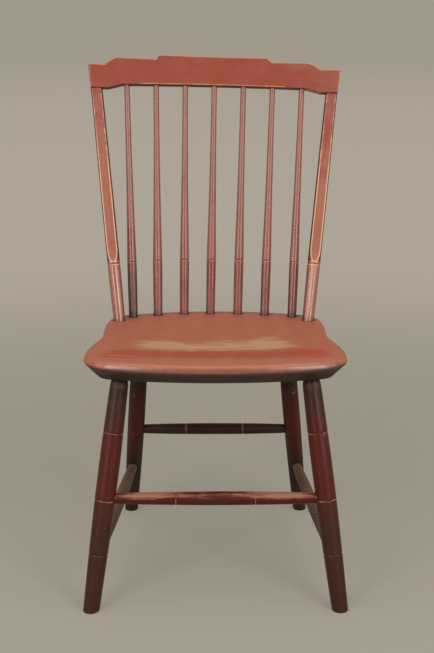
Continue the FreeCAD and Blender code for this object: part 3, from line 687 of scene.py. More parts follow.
class Leg:
    """Where one leg stands, and how thick it is at each distance from the floor."""

    def __init__(self, top, foot, turning):
        self.foot = place(*foot, 0)
        self.top = place(*top, SEAT_UNDER)
        self.length = (self.top - self.foot).length
        self.steepness = self.length / SEAT_UNDER
        self.mouth = self.length - TENON / 2 * sqrt(self.steepness**2 - 1) - SHOULDER_GAP
        self.neck = self.mouth - SHOULDER
        self.fullest = FULLEST * self.steepness
        self.foot_radius, self.full_radius, self.neck_radius = [size / 2 for size in turning["sizes"]]
        self.rings = [height * self.steepness for height in turning["rings"]]
        self.kept = turning["kept"]

    def radius(self, s):
        if s < self.fullest:
            return mix(self.foot_radius, self.full_radius, sin(pi / 2 * max(s, 0) / self.fullest))
        share = (s - self.fullest) / (self.neck - self.fullest)
        return mix(self.full_radius, self.neck_radius, 1 - cos(pi / 2 * share))

    def template(self):
        rim = (0.0, self.radius(0) - FOOT_EASE)
        points = [(0.0, 0.0), (0.0, rim[1] / 2), rim] + rounded(rim, (FOOT_EASE, self.radius(0)), 4)
        points += run(FOOT_EASE, self.neck, self.radius, self.rings, LEG_GROOVE)
        points += rounded((self.neck, self.radius(self.neck)), (self.mouth, TENON / 2), 8)
        tip = self.length + TENON_DEPTH
        return points + [(self.mouth, TENON / 2), (tip, TENON_TIP / 2), (tip, 0)]

    def point_at(self, height):
        return self.foot + (self.top - self.foot) * (height / SEAT_UNDER)


legs = {name: Leg(*plan) for name, plan in LEGS.items()}
print("leg lengths, mm:", [round(leg.length) for leg in legs.values()])

# %% Make the legs
FOOT_SLANT = 30.0  # the stretch over which the slanted end is spread


def mound(value, middle, half):
    """1 in the middle, falling away softly on both sides."""
    return np.exp(-(((value - middle) / half) ** 2))


def leg_finish(name, leg, points, along):
    """Dust at the shoulder, painted shade near the seat and behind, and a rubbed foot rim."""
    height = along / leg.steepness
    front = -points[:, 1] / np.maximum(np.hypot(points[:, 0], points[:, 1]), 1)
    lines = [(along - ring, kept) for ring, kept in zip(leg.rings, leg.kept)]
    for mark, half, kept in LEG_MARKS[name]:
        gap = gap_to_mark(points[:, 0], along, mark, half)
        lines.append((np.where(points[:, 1] < 2, gap, FAR_OFF), kept))
    edge, kept = nearest(lines)
    rear = name.startswith("rear")
    # painted shade: darker towards the seat, on the sides and back, and on the rear legs
    shade = rise(height, 270, 400) * 0.5 + rise(front, 0.75, 0.0) * 0.42 + (0.62 if rear else 0.0)
    # lighter and redder round the fullest part
    middle = mound(height, FULLEST, 90)
    dust = (0.15 if rear else 0.5) * mound(height, SEAT_UNDER - SHOULDER, 9) * rise(front, 0.1, 0.8)
    return {"edge": edge, "kept": kept, "grime": shade - 0.18 * middle, "dust": dust,
            "wear": 0.5 * rise(height, 9, 0), "fade": 0.9 - 1.6 * middle}


def make_leg(name, leg, seed):
    mesh, points = turned_mesh(leg.template(), sides=84, wobble=0.5, seed=seed, material=leg_paint)
    along = points[:, 2].copy()
    axes = axes_along(leg.foot, leg.top, BACKWARD)
    to_level = -(points[:, 0] * axes[0].z + points[:, 1] * axes[1].z) / axes[2].z
    points[:, 2] += to_level * rise(along, FOOT_SLANT, 0)
    data = leg_finish(name, leg, points, along)
    stand(mesh, points, leg.foot, axes)
    finish_piece(name, mesh, leg_paint, data)


for number, (name, leg) in enumerate(legs.items()):
    make_leg(name, leg, 3.1 + 1.3 * number)

# %% [markdown]
# ## Stretchers
# Four thin turned bars tie the legs. Each is fullest in the middle and has two grooves. Feet rest
# on the front one, so the paint on top of it has gone, and its lit top is also painted paler as a
# highlight and its underside darker as shade, while dust lies on the side ones.

# %% Sizes of the stretchers
STRETCHER_END, STRETCHER_TIP, PAST_AXIS = 17.4, 15.4, 4.0
RING_SHARE, FULLNESS = 0.36, 0.65
CLEARANCE = 1.0  # a bar's own shape starts this far outside the leg


class Stretcher:
    """A bar between two legs. Distances start at the first leg's axis."""

    def __init__(self, ends, heights, size):
        self.start, self.end = [leg.point_at(height) for leg, height in zip(ends, heights)]
        self.length = (self.end - self.start).length
        first, last = [self.out_of(leg, height) for leg, height in zip(ends, heights)]
        self.begin, self.stop = first, self.length - last
        self.full_radius = size / 2
        self.rings = [self.length / 2 * (1 - RING_SHARE), self.length / 2 * (1 + RING_SHARE)]

    def out_of(self, leg, height):
        """How far from the leg's axis the bar is clear of the leg, which it meets at a slant."""
        cosine = (self.end - self.start).normalized().dot((leg.top - leg.foot).normalized())
        reach = leg.radius(height * leg.steepness) + STRETCHER_END / 2 * abs(cosine)
        return reach / sqrt(1 - cosine**2) + CLEARANCE

    def radius(self, s):
        share = min(max((s - self.begin) / (self.stop - self.begin), 0), 1)
        return mix(STRETCHER_END / 2, self.full_radius, max(sin(pi * share), 0) ** FULLNESS)

    def template(self):
        first, last = -PAST_AXIS, self.length + PAST_AXIS
        points = [(first, 0), (first, STRETCHER_TIP / 2)]
        points += run(self.begin, self.stop, self.radius, self.rings, SLIM_GROOVE)
        return points + [(last, STRETCHER_TIP / 2), (last, 0)]


front_left, front_right, rear_left, rear_right = legs.values()
stretchers = {
    "front_stretcher": Stretcher((front_left, front_right), (187, 187), 23.6),
    "rear_stretcher": Stretcher((rear_left, rear_right), (198, 198), 21.8),
    "left_stretcher": Stretcher((front_left, rear_left), (95, 113), 22.5),
    "right_stretcher": Stretcher((front_right, rear_right), (95, 113), 22.5),
}
print("stretcher lengths, mm:", [round(bar.length) for bar in stretchers.values()])


# %% Make the stretchers
def bar_finish(name, bar, points):
    """Local Y is up on a stretcher, and local X is forward or to its right."""
    upper = points[:, 1] / bar.full_radius
    share = points[:, 2] / bar.length
    lines = [(points[:, 2] - ring, 0.32) for ring in bar.rings]
    edge, kept = nearest(lines)
    data = {"edge": edge, "kept": kept, "fade": 0.6}
    if name == "front_stretcher":
        left, right = mound(share, 0.22, 0.13), mound(share, 0.8, 0.14)  # where the feet rest most
        worn = 0.4 + 0.5 * left + 0.45 * right
        # the top is worn and also painted paler as a highlight; the lower half is painted shade
        data.update(wear=rise(upper, -0.2, 0.6) * worn, grime=0.5 * rise(upper, 0.0, -0.8),
                    dust=0.5 * right * rise(upper, 0, 0.8), fade=-0.3)
        data["kept"] = kept * rise(upper, 0.5, 0.0) + 0.15
    elif name == "rear_stretcher":
        # darker all over
        data.update(grime=0.66,
                    dust=0.3 * rise(upper, 0, 1) + 0.8 * mound(edge, 0, 1.8))
    else:
        rim = mound(share, 0.93, 0.03)
        data.update(dust=0.42 + 0.3 * rise(upper, 0, 1) + 0.35 * rim, grime=0.35)
    return data


for number, (name, bar) in enumerate(stretchers.items()):
    mesh, points = turned_mesh(bar.template(), sides=56, wobble=0.4, seed=11.3 + 1.7 * number,
                               material=leg_paint)
    data = bar_finish(name, bar, points)
    stand(mesh, points, bar.start, axes_along(bar.start, bar.end, UPWARD))
    finish_piece(name, mesh, leg_paint, data)

# %% [markdown]
# ## The crest's plane
# The back leans away, and the crest bends gently forward at its ends. `crest_point` turns a place
# on the crest's face, U to the right and V up, into a point of the chair.

# %% Crest plane
LEAN = radians(16.6)
CREST_UP = Vector((0, sin(LEAN), cos(LEAN)))
CREST_FRONT = Vector((0, -cos(LEAN), sin(LEAN)))
CREST_LINE, CREST_THICK, BEND_RADIUS, CREST_HALF = 852.0, 18.0, 2600.0, 238.5
POST_BASES, POST_BASE_Y = (-179.0, 175.6), 304.4
POST_INSET = 16.1
POST_SPREAD = CREST_HALF - POST_INSET
TOP_FALL, BOTTOM_FALL = 0.03, 0.0235  # the saw cuts fall a little to the right


def bend(u):
    return BEND_RADIUS - sqrt(BEND_RADIUS**2 - u**2)


CREST_MIDDLE = place(0, POST_BASE_Y + (CREST_LINE - SEAT_TOP) * tan(LEAN), CREST_LINE)
CREST_MIDDLE -= CREST_FRONT * bend(POST_SPREAD)


def crest_point(u, v, forward=0.0):
    return CREST_MIDDLE + Vector((u, 0, 0)) + CREST_UP * v + CREST_FRONT * (bend(u) + forward)


print("crest middle, mm:", [round(value) for value in CREST_MIDDLE])

# %% The crest's lower edge
ARCH_TOP, ARCH_SAG, ARCH_HALF = 6.4, 3.0, CREST_HALF - 65
EAR_SLOPE, EAR_BOTTOM = 27.0, -4.2
EAR = ARCH_HALF + EAR_SLOPE
END_SLOPE = 5.5  # the crest is this much shorter at each lower corner


def ear_height(u):
    return EAR_BOTTOM - BOTTOM_FALL * u


def arch_height(u):
    return ARCH_TOP - ARCH_SAG * (u / ARCH_HALF) ** 2 - BOTTOM_FALL * u


def bottom_height(u):
    if abs(u) <= ARCH_HALF:
        return arch_height(u)
    if abs(u) >= EAR:
        return ear_height(u)
    inner, outer = arch_height(copysign(ARCH_HALF, u)), ear_height(copysign(EAR, u))
    return mix(inner, outer, (abs(u) - ARCH_HALF) / EAR_SLOPE)


print("lower edge at the middle and at an ear:", arch_height(0), round(ear_height(-EAR), 1))

# %% [markdown]
# ## Spindles
# Seven spindles of one pattern stand in a bowed row. Each has one ring, thins above it, and its
# ends go straight into the seat and the crest. The same template rule serves all of them, and only
# their two end points differ. The holes in the seat strayed a little, each in its own way.

# %% What all uprights share
RING_ABOVE_SEAT = 101.0


class Upright:
    """A post or a spindle. Distances start where its axis leaves the seat."""

    def __init__(self, start, end, sizes):
        self.start, self.end = start, end
        self.length = (end - start).length
        self.ring = RING_ABOVE_SEAT * self.length / (end - start).z
        self.base, self.full, self.top = [size / 2 for size in sizes]
        self.axes = axes_along(start, end, -CREST_FRONT)

    def template(self):
        """The rod with its tenons. TENONS holds the length and radius of the one in the seat and of
        the one in the crest, and NECK any radius that the rod is cut down to at the crest."""
        (down, low_radius), (up, high_radius) = self.TENONS
        points = [(-down, 0), (-down, low_radius)]
        points += run(0, self.length, self.radius, [self.ring], SLIM_GROOVE)
        points += [(self.length, radius) for radius in self.NECK]
        return points + [(self.length + up, high_radius), (self.length + up, 0)]

    def swell(self, s):
        """Below the ring the rod swells gently from its base."""
        return mix(self.base, self.full, sin(pi / 2 * min(max(s, 0), self.ring) / self.ring))


def upright_finish(rod, points, along):
    """Painted shade on flanks and back, dirt at the foot, a painted highlight on the ring's lip."""
    round_front = -points[:, 1] / np.maximum(np.hypot(points[:, 0], points[:, 1]), 1)
    # painted shade: darker where the round turns away from the front, less so at the back
    flank = rise(round_front, 0.72, 0.25) * (1 - 0.45 * rise(round_front, -0.2, -0.8))
    low = rise(along, 14, 0)
    under_ring = rise(along, rod.ring + 2, rod.ring - 2)
    # a pale line 1.6 mm under the ring, painted as a highlight on the groove's lower lip
    return {"edge": along - rod.ring + 1.6, "kept": 0.55,
            "grime": 0.66 * flank + 0.45 * low + 0.14 * under_ring, "fade": 0.4 - 0.5 * under_ring}


print("rings stand above the seat by, mm:", RING_ABOVE_SEAT)

# %% Make the spindles
SPINDLE_SIZES = (16.8, 17.8, 10.4)
SPINDLE_DRIFTS = (3.7, -0.8, -1.7, -2.1, -0.5, 0.0, 0.5)
SPINDLE_DARKER = (0.42, 0.12, 0.0, 0.0, 0.0, 0.08, 0.26)  # the outer ones are darker towards the foot
ROW_MIDDLE, ROW_STEP, ROW_BACK, ROW_BOW = -5.7, 50.7, 358.7, 27.5
CREST_STEP = 0.2482  # between spindles at the crest, as a share of half the posts' distance
SPINDLE_FEET = [(ROW_MIDDLE + ROW_STEP * k + drift, ROW_BACK - ROW_BOW * (k / 3) ** 2)
                for k, drift in zip(range(-3, 4), SPINDLE_DRIFTS)]


class Spindle(Upright):
    TENONS, NECK = ((24, 6.9), (20, 4.7)), ()

    def radius(self, s):
        if s < self.ring:
            return self.swell(s)
        share = min((s - self.ring) / (self.length - self.ring), 1)
        return mix(self.top, self.full, (1 - share) ** 2)


for number, foot in enumerate(SPINDLE_FEET, 1):
    u = (number - 4) * POST_SPREAD * CREST_STEP
    rod = Spindle(place(*foot, SEAT_TOP), crest_point(u, arch_height(u)), SPINDLE_SIZES)
    mesh, points = turned_mesh(rod.template(), sides=48, wobble=0.4, seed=20.0 + 1.7 * number,
                               material=rod_paint)
    data = upright_finish(rod, points, points[:, 2])
    data["grime"] += SPINDLE_DARKER[number - 1] * rise(points[:, 2], rod.ring + 40, rod.ring - 30)
    stand(mesh, points, rod.start, rod.axes)
    finish_piece(f"spindle_{number}", mesh, rod_paint, data)

# %% [markdown]
# ## Back posts
# A post is turned like a spindle up to its ring. Above it the front was shaved flat with a
# drawknife, which leaves a small rounded hollow where the blade went in. Here the lathe makes the
# round post first, and then every point that stands in front of the shaved face is pushed back
# to it. Thin ochre lines follow both edges of the flat and meet above the ring.

# %% The shaved post
POST_SIZES = (21.4, 23.8, 22.0)
FLAT_AT_RING, FLAT_AT_TOP = 7.4, 6.8
SCOOP_START, SCOOP_LENGTH = 4.0, 28.0
SOFT_ARRIS = 0.5


class Post(Upright):
    TENONS, NECK = ((28, 9), (24, 5.2)), (5.5,)

    def radius(self, s):
        if s < self.ring:
            return self.swell(s)
        return mix(self.full, self.top, min((s - self.ring) / (self.length - self.ring), 1) ** 2)

    def flat(self, along):
        """How far the shaved face stands from the axis; far away where the post is round."""
        begin = self.ring + SCOOP_START
        settle = begin + SCOOP_LENGTH
        skin = self.radius(begin)
        hollow = skin - (skin - FLAT_AT_RING) * (1 - (1 - rise(along, begin, settle)) ** 2.4)
        straight = mix(FLAT_AT_RING, FLAT_AT_TOP, rise(along, settle, self.length + self.TENONS[1][0]))
        face = np.where(along < settle, hollow, straight)
        return np.where((along < begin) | (along > self.length + 0.01), FAR_OFF, face)

    def shave(self, points):
        """Pushes the front back to the shaved face, and returns the distance inward from its edges."""
        flat = self.flat(points[:, 2])
        around = np.array([self.radius(s) for s in np.clip(points[:, 2], 0, self.length)])
        half = np.sqrt(np.maximum(around**2 - np.minimum(flat, around) ** 2, 0))
        inward = half - np.abs(points[:, 0])
        over = -points[:, 1] - flat
        soft = 0.5 * (over + np.sqrt(over**2 + SOFT_ARRIS**2)) - 0.5 * SOFT_ARRIS
        on_flat = (points[:, 1] < 0) & (flat < FAR_OFF)
        points[:, 1] += np.where(over > 0, np.maximum(soft, 0), 0)
        return np.where(on_flat, inward, FAR_OFF)

    def slant_top(self, points, along):
        """Cuts the top to the slope of the crest's ear."""
        plane = (CREST_UP + Vector((BOTTOM_FALL, 0, 0))).normalized()
        tilt = [axis.dot(plane) for axis in self.axes]
        drop = -(points[:, 0] * tilt[0] + points[:, 1] * tilt[1]) / tilt[2]
        points[:, 2] += drop * rise(along, self.length - 30, self.length)


def post_between(side):
    start = place(POST_BASES[0 if side < 0 else 1], POST_BASE_Y, SEAT_TOP)
    line = crest_point(side * POST_SPREAD, 0)
    below = ear_height(side * POST_SPREAD) / (CREST_LINE - SEAT_TOP) * cos(LEAN)
    return Post(start, line + (line - start) * below, POST_SIZES)


posts = {"left_back_post": post_between(-1), "right_back_post": post_between(1)}
print("post lengths, mm:", [round(post.length) for post in posts.values()])

# %% Make the posts
STREAK_HIGHLIGHTS = {"left_back_post": 3.6, "right_back_post": -1.5}  # rubbed, and a painted highlight, below the ring; mm to the right
LINE_INSET = 0.9  # from an edge to the middle of the line painted along it


def post_finish(name, post, points, along, inward):
    data = upright_finish(post, points, along)
    height = (along - post.ring) / (post.length - post.ring)
    above = along > post.ring + SCOOP_START
    side_line = np.where(above, inward - LINE_INSET, FAR_OFF)
    side_kept = 0.42 + 0.7 * mound(height, 0.3, 0.25) - 0.1 * rise(height, 0.75, 1.0)
    joined = along - post.ring - SCOOP_START - 0.4  # where the two lines meet over the ring
    joined = np.where((points[:, 1] < -3) & (np.abs(points[:, 0]) < 5.5), joined, FAR_OFF)
    # the pale line under the ring is a painted highlight on the groove's lip
    lit_ring_lip = np.where(points[:, 1] < 4, data["edge"], FAR_OFF)
    data["edge"], data["kept"] = nearest([(side_line, side_kept), (joined, 0.8), (lit_ring_lip, 0.6)])
    # painted highlight: a pale streak down the front below the ring, partly rubbed paint
    streak = mound(points[:, 0], STREAK_HIGHLIGHTS[name], 1.8) * (points[:, 1] < 0)
    below = rise(along, post.ring + 1, post.ring - 3)
    face = rise(inward, 0.2, 1.2) * above * (inward < FAR_OFF)
    # painted shade on the round outside the shaved face
    outside = rise(inward, 0.0, -1.5) * above
    data["wear"] = 0.75 * streak * below + 0.12 * face * rise(height, 0.55, 0.0)
    # painted shade at the top of the post, under the crest
    joint = rise(along, post.length - 3, post.length - 1)
    data["grime"] = np.where(face > 0, 0.0, data["grime"]) + 0.5 * outside + 0.5 * joint
    data["fade"] = np.where(above, 1.1 - 1.5 * np.clip(height, 0, 1), 0.5)
    data["polish"] = 0.5 * below
    return data


for number, (name, post) in enumerate(posts.items()):
    mesh, points = turned_mesh(post.template(), sides=144, wobble=0.3, seed=41.3 + 2.6 * number,
                               material=post_paint)
    along = points[:, 2].copy()
    inward = post.shave(points)
    data = post_finish(name, post, points, along, inward)
    post.slant_top(points, along)
    stand(mesh, points, post.start, post.axes)
    finish_piece(name, mesh, post_paint, data)

# %% [markdown]
# ## Crest rail
# The crest is one sawn and bent board: a raised tablet in the middle, a shoulder each side that
# curves down to a low end, and two ears below. It is built in columns. Each column is a rounded
# rectangle between the lower and the upper outline, and the columns follow the bend.

# %% The crest's upper edge
TABLET_TOP, SHOULDER_TOP, END_TOPS = 61.7, 53.7, (39.2, 41.3)
TABLET_HALF = CREST_HALF * 0.4277
PATTERN_SHIFT = -3.0  # the pattern for the upper edge was laid on this far off the middle
END_FLAT, SHOULDER_CURVE = 35.5, 23.5
STEPS = (4.0, 9.5)
SHOULDER_END = CREST_HALF - END_FLAT


def circle_through(a, b, c):
    """Centre and radius of the circle through three points of the plane."""
    (ax, ay), (bx, by), (cx, cy) = a, b, c
    d = 2 * (ax * (by - cy) + bx * (cy - ay) + cx * (ay - by))
    ux = ((ax**2 + ay**2) * (by - cy) + (bx**2 + by**2) * (cy - ay) + (cx**2 + cy**2) * (ay - by)) / d
    uy = ((ax**2 + ay**2) * (cx - bx) + (bx**2 + by**2) * (ax - cx) + (cx**2 + cy**2) * (bx - ax)) / d
    return ux, uy, hypot(ax - ux, ay - uy)


def shoulder_drop(x, end_top):
    """How far the shoulder's curve has come down at x from its start."""
    drop = SHOULDER_TOP - end_top
    arc = ((0, 0), (SHOULDER_CURVE * 0.5, -drop * 0.35), (SHOULDER_CURVE, -drop))
    middle_x, middle_y, radius = circle_through(*arc)
    return -(middle_y + sqrt(max(radius**2 - (x - middle_x) ** 2, 0)))


def top_height(u):
    hand = 0 if u < PATTERN_SHIFT else 1
    x = abs(u - PATTERN_SHIFT)
    shoulder = SHOULDER_END - SHOULDER_CURVE
    if x <= TABLET_HALF:
        height = TABLET_TOP
    elif x < TABLET_HALF + STEPS[hand]:
        height = mix(TABLET_TOP, SHOULDER_TOP, (x - TABLET_HALF) / STEPS[hand])
    elif x <= shoulder:
        height = SHOULDER_TOP
    elif x < SHOULDER_END:
        height = SHOULDER_TOP - shoulder_drop(x - shoulder, END_TOPS[hand])
    else:
        height = END_TOPS[hand]
    return height - TOP_FALL * u


print("crest heights at the middle:", round(bottom_height(0), 1), "to", round(top_height(0), 1))

# %% One column of the crest
ARRIS = 1.7
FACE_ROWS = 24
CORNER_STEPS = 4


def section(half, low, high):
    """A rounded rectangle of (forward, height) points: up the front, over the top, down the back."""
    def corner(forward, height, first):
        turns = [first + i / CORNER_STEPS * pi / 2 for i in range(CORNER_STEPS + 1)]
        return [(forward + ARRIS * cos(a), height + ARRIS * sin(a)) for a in turns]

    def straight(first, last, count):
        return [tuple(mix(np.array(first), np.array(last), i / count)) for i in range(1, count)]

    inner = half - ARRIS
    lower, upper = low + ARRIS, high - ARRIS
    loop = straight((half, lower), (half, upper), FACE_ROWS) + corner(inner, upper, 0)
    loop += straight((inner, high), (-inner, high), 5) + corner(-inner, upper, pi / 2)
    loop += straight((-half, upper), (-half, lower), FACE_ROWS) + corner(-inner, lower, pi)
    loop += straight((-inner, low), (inner, low), 5) + corner(inner, lower, 1.5 * pi)
    return loop


def crest_columns():
    """Pairs of a place along the crest and how far the whole section is drawn in there."""
    places = set(np.linspace(-CREST_HALF + 2.2, CREST_HALF - 2.2, 200))
    for side, step in zip((-1, 1), STEPS):
        corners = [TABLET_HALF + step * i / 6 for i in range(7)]
        corners += [SHOULDER_END - SHOULDER_CURVE * i / 24 for i in range(25)]
        places.update(PATTERN_SHIFT + side * corner for corner in corners)
        places.update((side * ARCH_HALF, side * EAR))
    columns = []
    for u in sorted(places):
        if not columns or u - columns[-1][0] > 0.3:
            columns.append((u, 0.0))
    ends = [(CREST_HALF - ARRIS * (1 - sin(a)), ARRIS * (1 - cos(a)))
            for a in np.linspace(0, pi / 2, 6)]
    left = [(-u, inset) for u, inset in reversed(ends)]
    return left + columns + ends


print("points round the crest:", len(section(9, 0, 60)))


# %% Make the crest
def crest_finish(u, v, low, high, forward):
    """Edge, kept, wear, grime and fade of one point of the crest."""
    from_end, from_top, from_bottom = CREST_HALF - abs(u), high - v, v - low
    lines = [(from_top - LINE_INSET, 0.85)]
    along_arch = rise(u, -152, -138) * rise(u, 142, 128)
    lines.append((from_bottom - ARRIS - 0.2, 0.62 * along_arch))
    # the lines down the two ends stand partly for the highlight on their rounded arrises
    lines.append((from_end - (2.4 if u < 0 else 1.2), 0.42 if u < 0 else 0.5))
    edge, kept = min(lines, key=lambda line: abs(line[0]) + (50 if line[1] < 0.1 else 0))
    if forward < 0:
        edge = FAR_OFF
    under = rise(from_bottom, ARRIS * 0.7, 0.1)
    worn_ear = under * rise(u, ARCH_HALF - 6, ARCH_HALF + 4) * rise(u, EAR + 4, EAR - 4)
    end_skin = rise(from_end, 1.6, 0.6) if u < 0 else 0.0
    joint = rise(abs(abs(u) - POST_SPREAD), 13, 11) * rise(from_bottom, 1.2, 0.2)
    back = 0.3 if forward < -8 else 0.0
    # painted shade along the underside and where the posts meet it; the back face is darker too
    grime = 0.75 * under * (1 - worn_ear) + 0.6 * end_skin + 0.5 * joint + back
    wear = 0.7 * worn_ear + 0.12 * rise(from_top, 5, 1)
    fade = 0.55 * rise(u, 120, 230) + 0.35 * rise(u, -140, -235) - 0.25
    return edge, kept, wear, grime, fade


def tube_faces(loops, around):
    """The faces between neighbouring closed loops, each of as many points."""
    faces = []
    for first in range(0, (loops - 1) * around, around):
        for i in range(around):
            n = (i + 1) % around
            faces.append((first + i, first + n, first + around + n, first + around + i))
    return faces


def crest_mesh():
    """The crest's mesh, its grain, and the finish of each point."""
    vertices, grain, finish = [], [], []
    columns = crest_columns()
    for u, inset in columns:
        reach = max(abs(u) - EAR, 0)
        low_u = copysign(abs(u) - reach * END_SLOPE / (CREST_HALF - EAR), u)
        low, high = bottom_height(low_u), top_height(u)
        for forward, v in section(CREST_THICK / 2 - inset, low + inset, high - inset):
            here = mix(low_u, u, (v - low) / (high - low))
            vertices.append(crest_point(here, v, forward))
            grain.append((v, forward, here))
            finish.append(crest_finish(u, v, low, high, forward))
    rows = len(vertices) // len(columns)
    faces = tube_faces(len(columns), rows)
    faces.append(tuple(range(rows))[::-1])
    faces.append(tuple((len(columns) - 1) * rows + r for r in range(rows)))
    mesh = bpy.data.meshes.new("crest_rail")
    mesh.from_pydata(vertices, [], faces)
    return mesh, np.array(grain), np.array(finish, float).T


mesh, grain, finish = crest_mesh()
set_grain(mesh, grain)
data = dict(zip(("edge", "kept", "wear", "grime", "fade"), finish))
finish_piece("crest_rail", mesh, crest_paint, data)

# %% [markdown]
# ## Pegs
# A small peg goes in from the back of the crest through the tenon of each post. Only its end
# shows, a little proud, because the crest has shrunk round it.

# %% Pegs
PEG_RADIUS, PEG_LENGTH, PEG_PROUD = 2.8, 14.5, 0.4
PEG_EASE, PEG_FACE = 0.5, 2.1  # the length of the eased rim, and the radius it leaves


def make_peg(name, seed):
    low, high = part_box(name)
    middle = (low + high) * 500
    tip = middle + CREST_FRONT * PEG_LENGTH / 2
    end = middle - CREST_FRONT * (PEG_LENGTH / 2 + PEG_PROUD)
    length = PEG_LENGTH + PEG_PROUD
    rim = (length - PEG_EASE, PEG_RADIUS)
    template = [(0, 0)] + [(length * i / 6, PEG_RADIUS) for i in range(6)] + [rim]
    template += rounded(rim, (length, PEG_FACE), 4) + [(length, PEG_FACE), (length + 0.1, 0)]
    mesh, points = turned_mesh(template, sides=32, wobble=0.2, seed=seed, material=peg_wood)
    stand(mesh, points, tip, axes_along(tip, end, UPWARD))
    finish_piece(name, mesh, peg_wood, {"grime": 0.2})


make_peg("left_crest_peg", 61.0)
make_peg("right_crest_peg", 63.0)

# %% [markdown]
# ## Seat
# The seat is one thick plank: bevelled away underneath so that it looks thin, rolled over at its
# upper edge, and hollowed a little for comfort. Its outline is measured on the CAD plank with rays
# that come in from outside. Rings of points then go from the middle of the underside out over the
# bevel and the roll, and back to the middle of the top.

# %% Measure the plank
SEAT_MIDDLE = place(0, 190, 0)
ROUND = 512
FULL_AT, UNDER_AT = 417.0, 389.4  # the heights at which the two outlines are measured
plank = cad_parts["seat"].data
plank_tree = BVHTree.FromPolygons([v.co * 1000 for v in plank.vertices],
                                  [p.vertices for p in plank.polygons])


def outline(height):
    """The plank's outline at this height, as an array of X and Y."""
    found = []
    for i in range(ROUND):
        a = 2 * pi * i / ROUND
        way = Vector((cos(a), sin(a), 0))
        start = Vector((SEAT_MIDDLE.x, SEAT_MIDDLE.y, height)) + way * 400
        hit = plank_tree.ray_cast(start, -way)[0]
        found.append((hit.x, hit.y))
    line = np.array(found)
    for _ in range(3):  # evens out the short flats of the measured line
        line = 0.5 * line + 0.25 * (np.roll(line, 1, axis=0) + np.roll(line, -1, axis=0))
    return line


def inset_line(line, distance):
    along = np.roll(line, -1, axis=0) - np.roll(line, 1, axis=0)
    along /= np.linalg.norm(along, axis=1)[:, None]
    return line - np.stack([along[:, 1], -along[:, 0]], axis=1) * distance


full_line, under_line = outline(FULL_AT), outline(UNDER_AT)
print("plank outline, mm:", np.ptp(full_line, axis=0).round(1))

# %% Seat mesh
EDGE_LOW, ARRIS_RISE, ROLL_RADIUS = 415.0, 4.2, 12.0
DISH = {"depth": 7.0, "half_width": 184.0, "half_length": 142.0, "middle": 182.0 - FRONT_EDGE,
        "soft_rim": 1.4}
ARRIS_EASE, ARRIS_SWELL = 1.5, 0.15
UNDER_RINGS = (0.0, 0.2, 0.4, 0.6, 0.75, 0.88, 0.96, 0.99)
BEVEL_RINGS, ROLL_RINGS, TOP_RINGS = 8, 10, 72


def top_of_seat(line):
    """The height of the hollowed top, with a soft rim round the hollow."""
    x = line[:, 0] / DISH["half_width"]
    y = (line[:, 1] - DISH["middle"]) / DISH["half_length"]
    over = DISH["depth"] * (x**2 + y**2 - 1)
    return SEAT_TOP + 0.5 * (over - np.sqrt(over**2 + DISH["soft_rim"]))


def arris_height(x):
    """The bevel was cut higher at the two ends of the seat."""
    return EDGE_LOW + ARRIS_RISE * rise(np.abs(x), 125, 220)


def seat_rings():
    """Rings of (outline, height), from the middle of the underside round to that of the top."""
    centre = np.array([SEAT_MIDDLE.x, SEAT_MIDDLE.y])
    rings = [(mix(centre, under_line, share), SEAT_UNDER) for share in UNDER_RINGS]
    rings.append((under_line, SEAT_UNDER + 0.4))
    arris = arris_height(full_line[:, 0])
    for i in range(1, BEVEL_RINGS + 1):
        share = i / BEVEL_RINGS
        bulged = share + 0.012 * sin(pi * share)  # a drawn knife leaves the bevel a little round
        height = mix(SEAT_UNDER, arris - ARRIS_EASE / 2, share)
        rings.append((mix(under_line, full_line, bulged), height))
    roll_start = SEAT_TOP - ROLL_RADIUS
    eased = np.minimum(arris + ARRIS_EASE, roll_start - 0.1)
    rings.append((inset_line(full_line, -ARRIS_SWELL), eased))
    for i in range(ROLL_RINGS + 1):
        a = i / ROLL_RINGS * pi / 2
        line = inset_line(full_line, ROLL_RADIUS * (1 - cos(a)))
        rings.append((line, roll_start + ROLL_RADIUS * sin(a)))
    rim = inset_line(full_line, ROLL_RADIUS)
    for i in range(1, TOP_RINGS + 1):
        line = mix(rim, centre, i / TOP_RINGS)
        rings.append((line, mix(SEAT_TOP, top_of_seat(line), min(i / 4, 1))))
    return rings


def seat_mesh():
    rings = seat_rings()
    points = np.concatenate([np.column_stack([line, np.broadcast_to(height, ROUND)])
                             for line, height in rings])
    mesh = bpy.data.meshes.new("seat")
    mesh.from_pydata(points.tolist(), [], tube_faces(len(rings), ROUND))
    return mesh, points


mesh, points = seat_mesh()
set_grain(mesh, points[:, [1, 2, 0]])
print("seat points:", len(points))

# %% [markdown]
# ## The seat's wear
# Sitting has rubbed a broad band across the middle down to tan wood, and left the strip in front
# of it red. The tan also stands for the pale sheen on the top, as a painted reflection. The rolled
# edge is polished, the bevel below it is painted nearly black as shade and dirt, and dirt also
# rings every post and spindle. A long pale scratch, some short ones and a few flecks of an older
# coat are drawn about where the real seat has them.

# %% Wear of the seat
ROD_FEET = [(x, y, SPINDLE_SIZES[0] / 2) for x, y in SPINDLE_FEET]
ROD_FEET += [(x, POST_BASE_Y, POST_SIZES[0] / 2) for x in POST_BASES]
SEAT_SCRATCHES = [  # (front to back, left to right), half width, how well kept
    ([(67, -181), (61, -127), (45, -73)], 0.9, 0.62),
    ([(88, -150), (84, -120)], 0.7, 0.5),
    ([(33, 38), (31, 66)], 0.8, 0.5),
    ([(96, 20), (93, 34)], 1.0, 0.6),
    ([(212, -5), (211, 3)], 1.3, 0.8),
    ([(205, 110), (222, 118)], 0.9, 0.5),
]


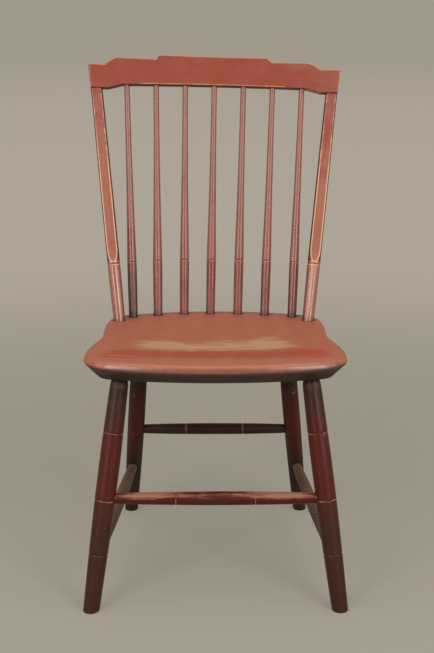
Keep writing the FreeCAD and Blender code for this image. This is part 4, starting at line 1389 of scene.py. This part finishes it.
def dirt_round_rods(x, y):
    close = np.zeros(len(x))
    for rod_x, rod_y, radius in ROD_FEET:
        gap = np.hypot(x - rod_x, y - rod_y) - radius
        close = np.maximum(close, rise(gap, 5, 0))
    return close


def seat_finish(points):
    x, y, z = points[:, 0], points[:, 1] + FRONT_EDGE, points[:, 2]
    above_arris = z - arris_height(x)
    top, below = rise(z, SEAT_TOP - 10, SEAT_TOP - 6), rise(above_arris, 1, -3)
    patches = 0.86 + 0.1 * np.cos(x / 19) + 0.1 * np.cos(x / 31 + y / 17 + 1)
    # wear and a painted reflection: paler across the middle of the top
    band = rise(y, 98, 134) * rise(y, 235, 165) * rise(np.abs(x), 180, 110) * patches
    front_strip = mound(y, 78, 34) * rise(np.abs(x), 215, 170)
    tips = rise(np.abs(x), 150, 215) * below
    lines = []
    for mark, half, kept in SEAT_SCRATCHES:
        gap = gap_to_mark(x, y, mark, half)
        lines.append((np.where(top > 0.5, gap, FAR_OFF), kept))
    edge, kept = nearest(lines)
    arris = mound(above_arris, 1, 2.5)
    specks = mound(x, -175, 13) * mound(y, 183, 40) + 0.9 * mound(x, 132, 25) * mound(y, 236, 22)
    chips = 0.9 * mound(x, 26, 16) * rise(y, 30, 10) * mound(above_arris, 2, 3)
    front_top = rise(y, 66, 40) * top
    roll_dirt = 0.56 * (rise(y, 60, 36) * (1 - below)) * rise(z, SEAT_TOP, SEAT_TOP - 6)
    # painted shade on the bevel below the arris and on the arris, and dirt round the rods
    grime = 1.2 * below + 0.5 * arris + roll_dirt + 0.8 * dirt_round_rods(x, y) * top
    return {"wear": 0.8 * band * top + 0.1 * top + 0.16 * front_top,
            "fade": (0.9 - 1.6 * front_strip) * top + 0.3 * (1 - top),
            "grime": grime, "dust": 0.15 * tips, "edge": edge, "kept": kept,
            "fleck": top * 1.3 * specks + 1.3 * chips,
            "polish": mound(z, SEAT_TOP - 7.5, 8) * rise(y, 60, 25)}


finish_piece("seat", mesh, seat_paint, seat_finish(points))

# %% [markdown]
# ## Sizes and the last line
# The dressed chair must stay as large as the measured one, so both boxes are written down.

# %% Sizes
seen_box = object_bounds()
for name, (low, high) in (("CAD", cad_box), ("dressed", seen_box)):
    print(name, "box, mm:", [round(1000 * c, 1) for c in low], [round(1000 * c, 1) for c in high])
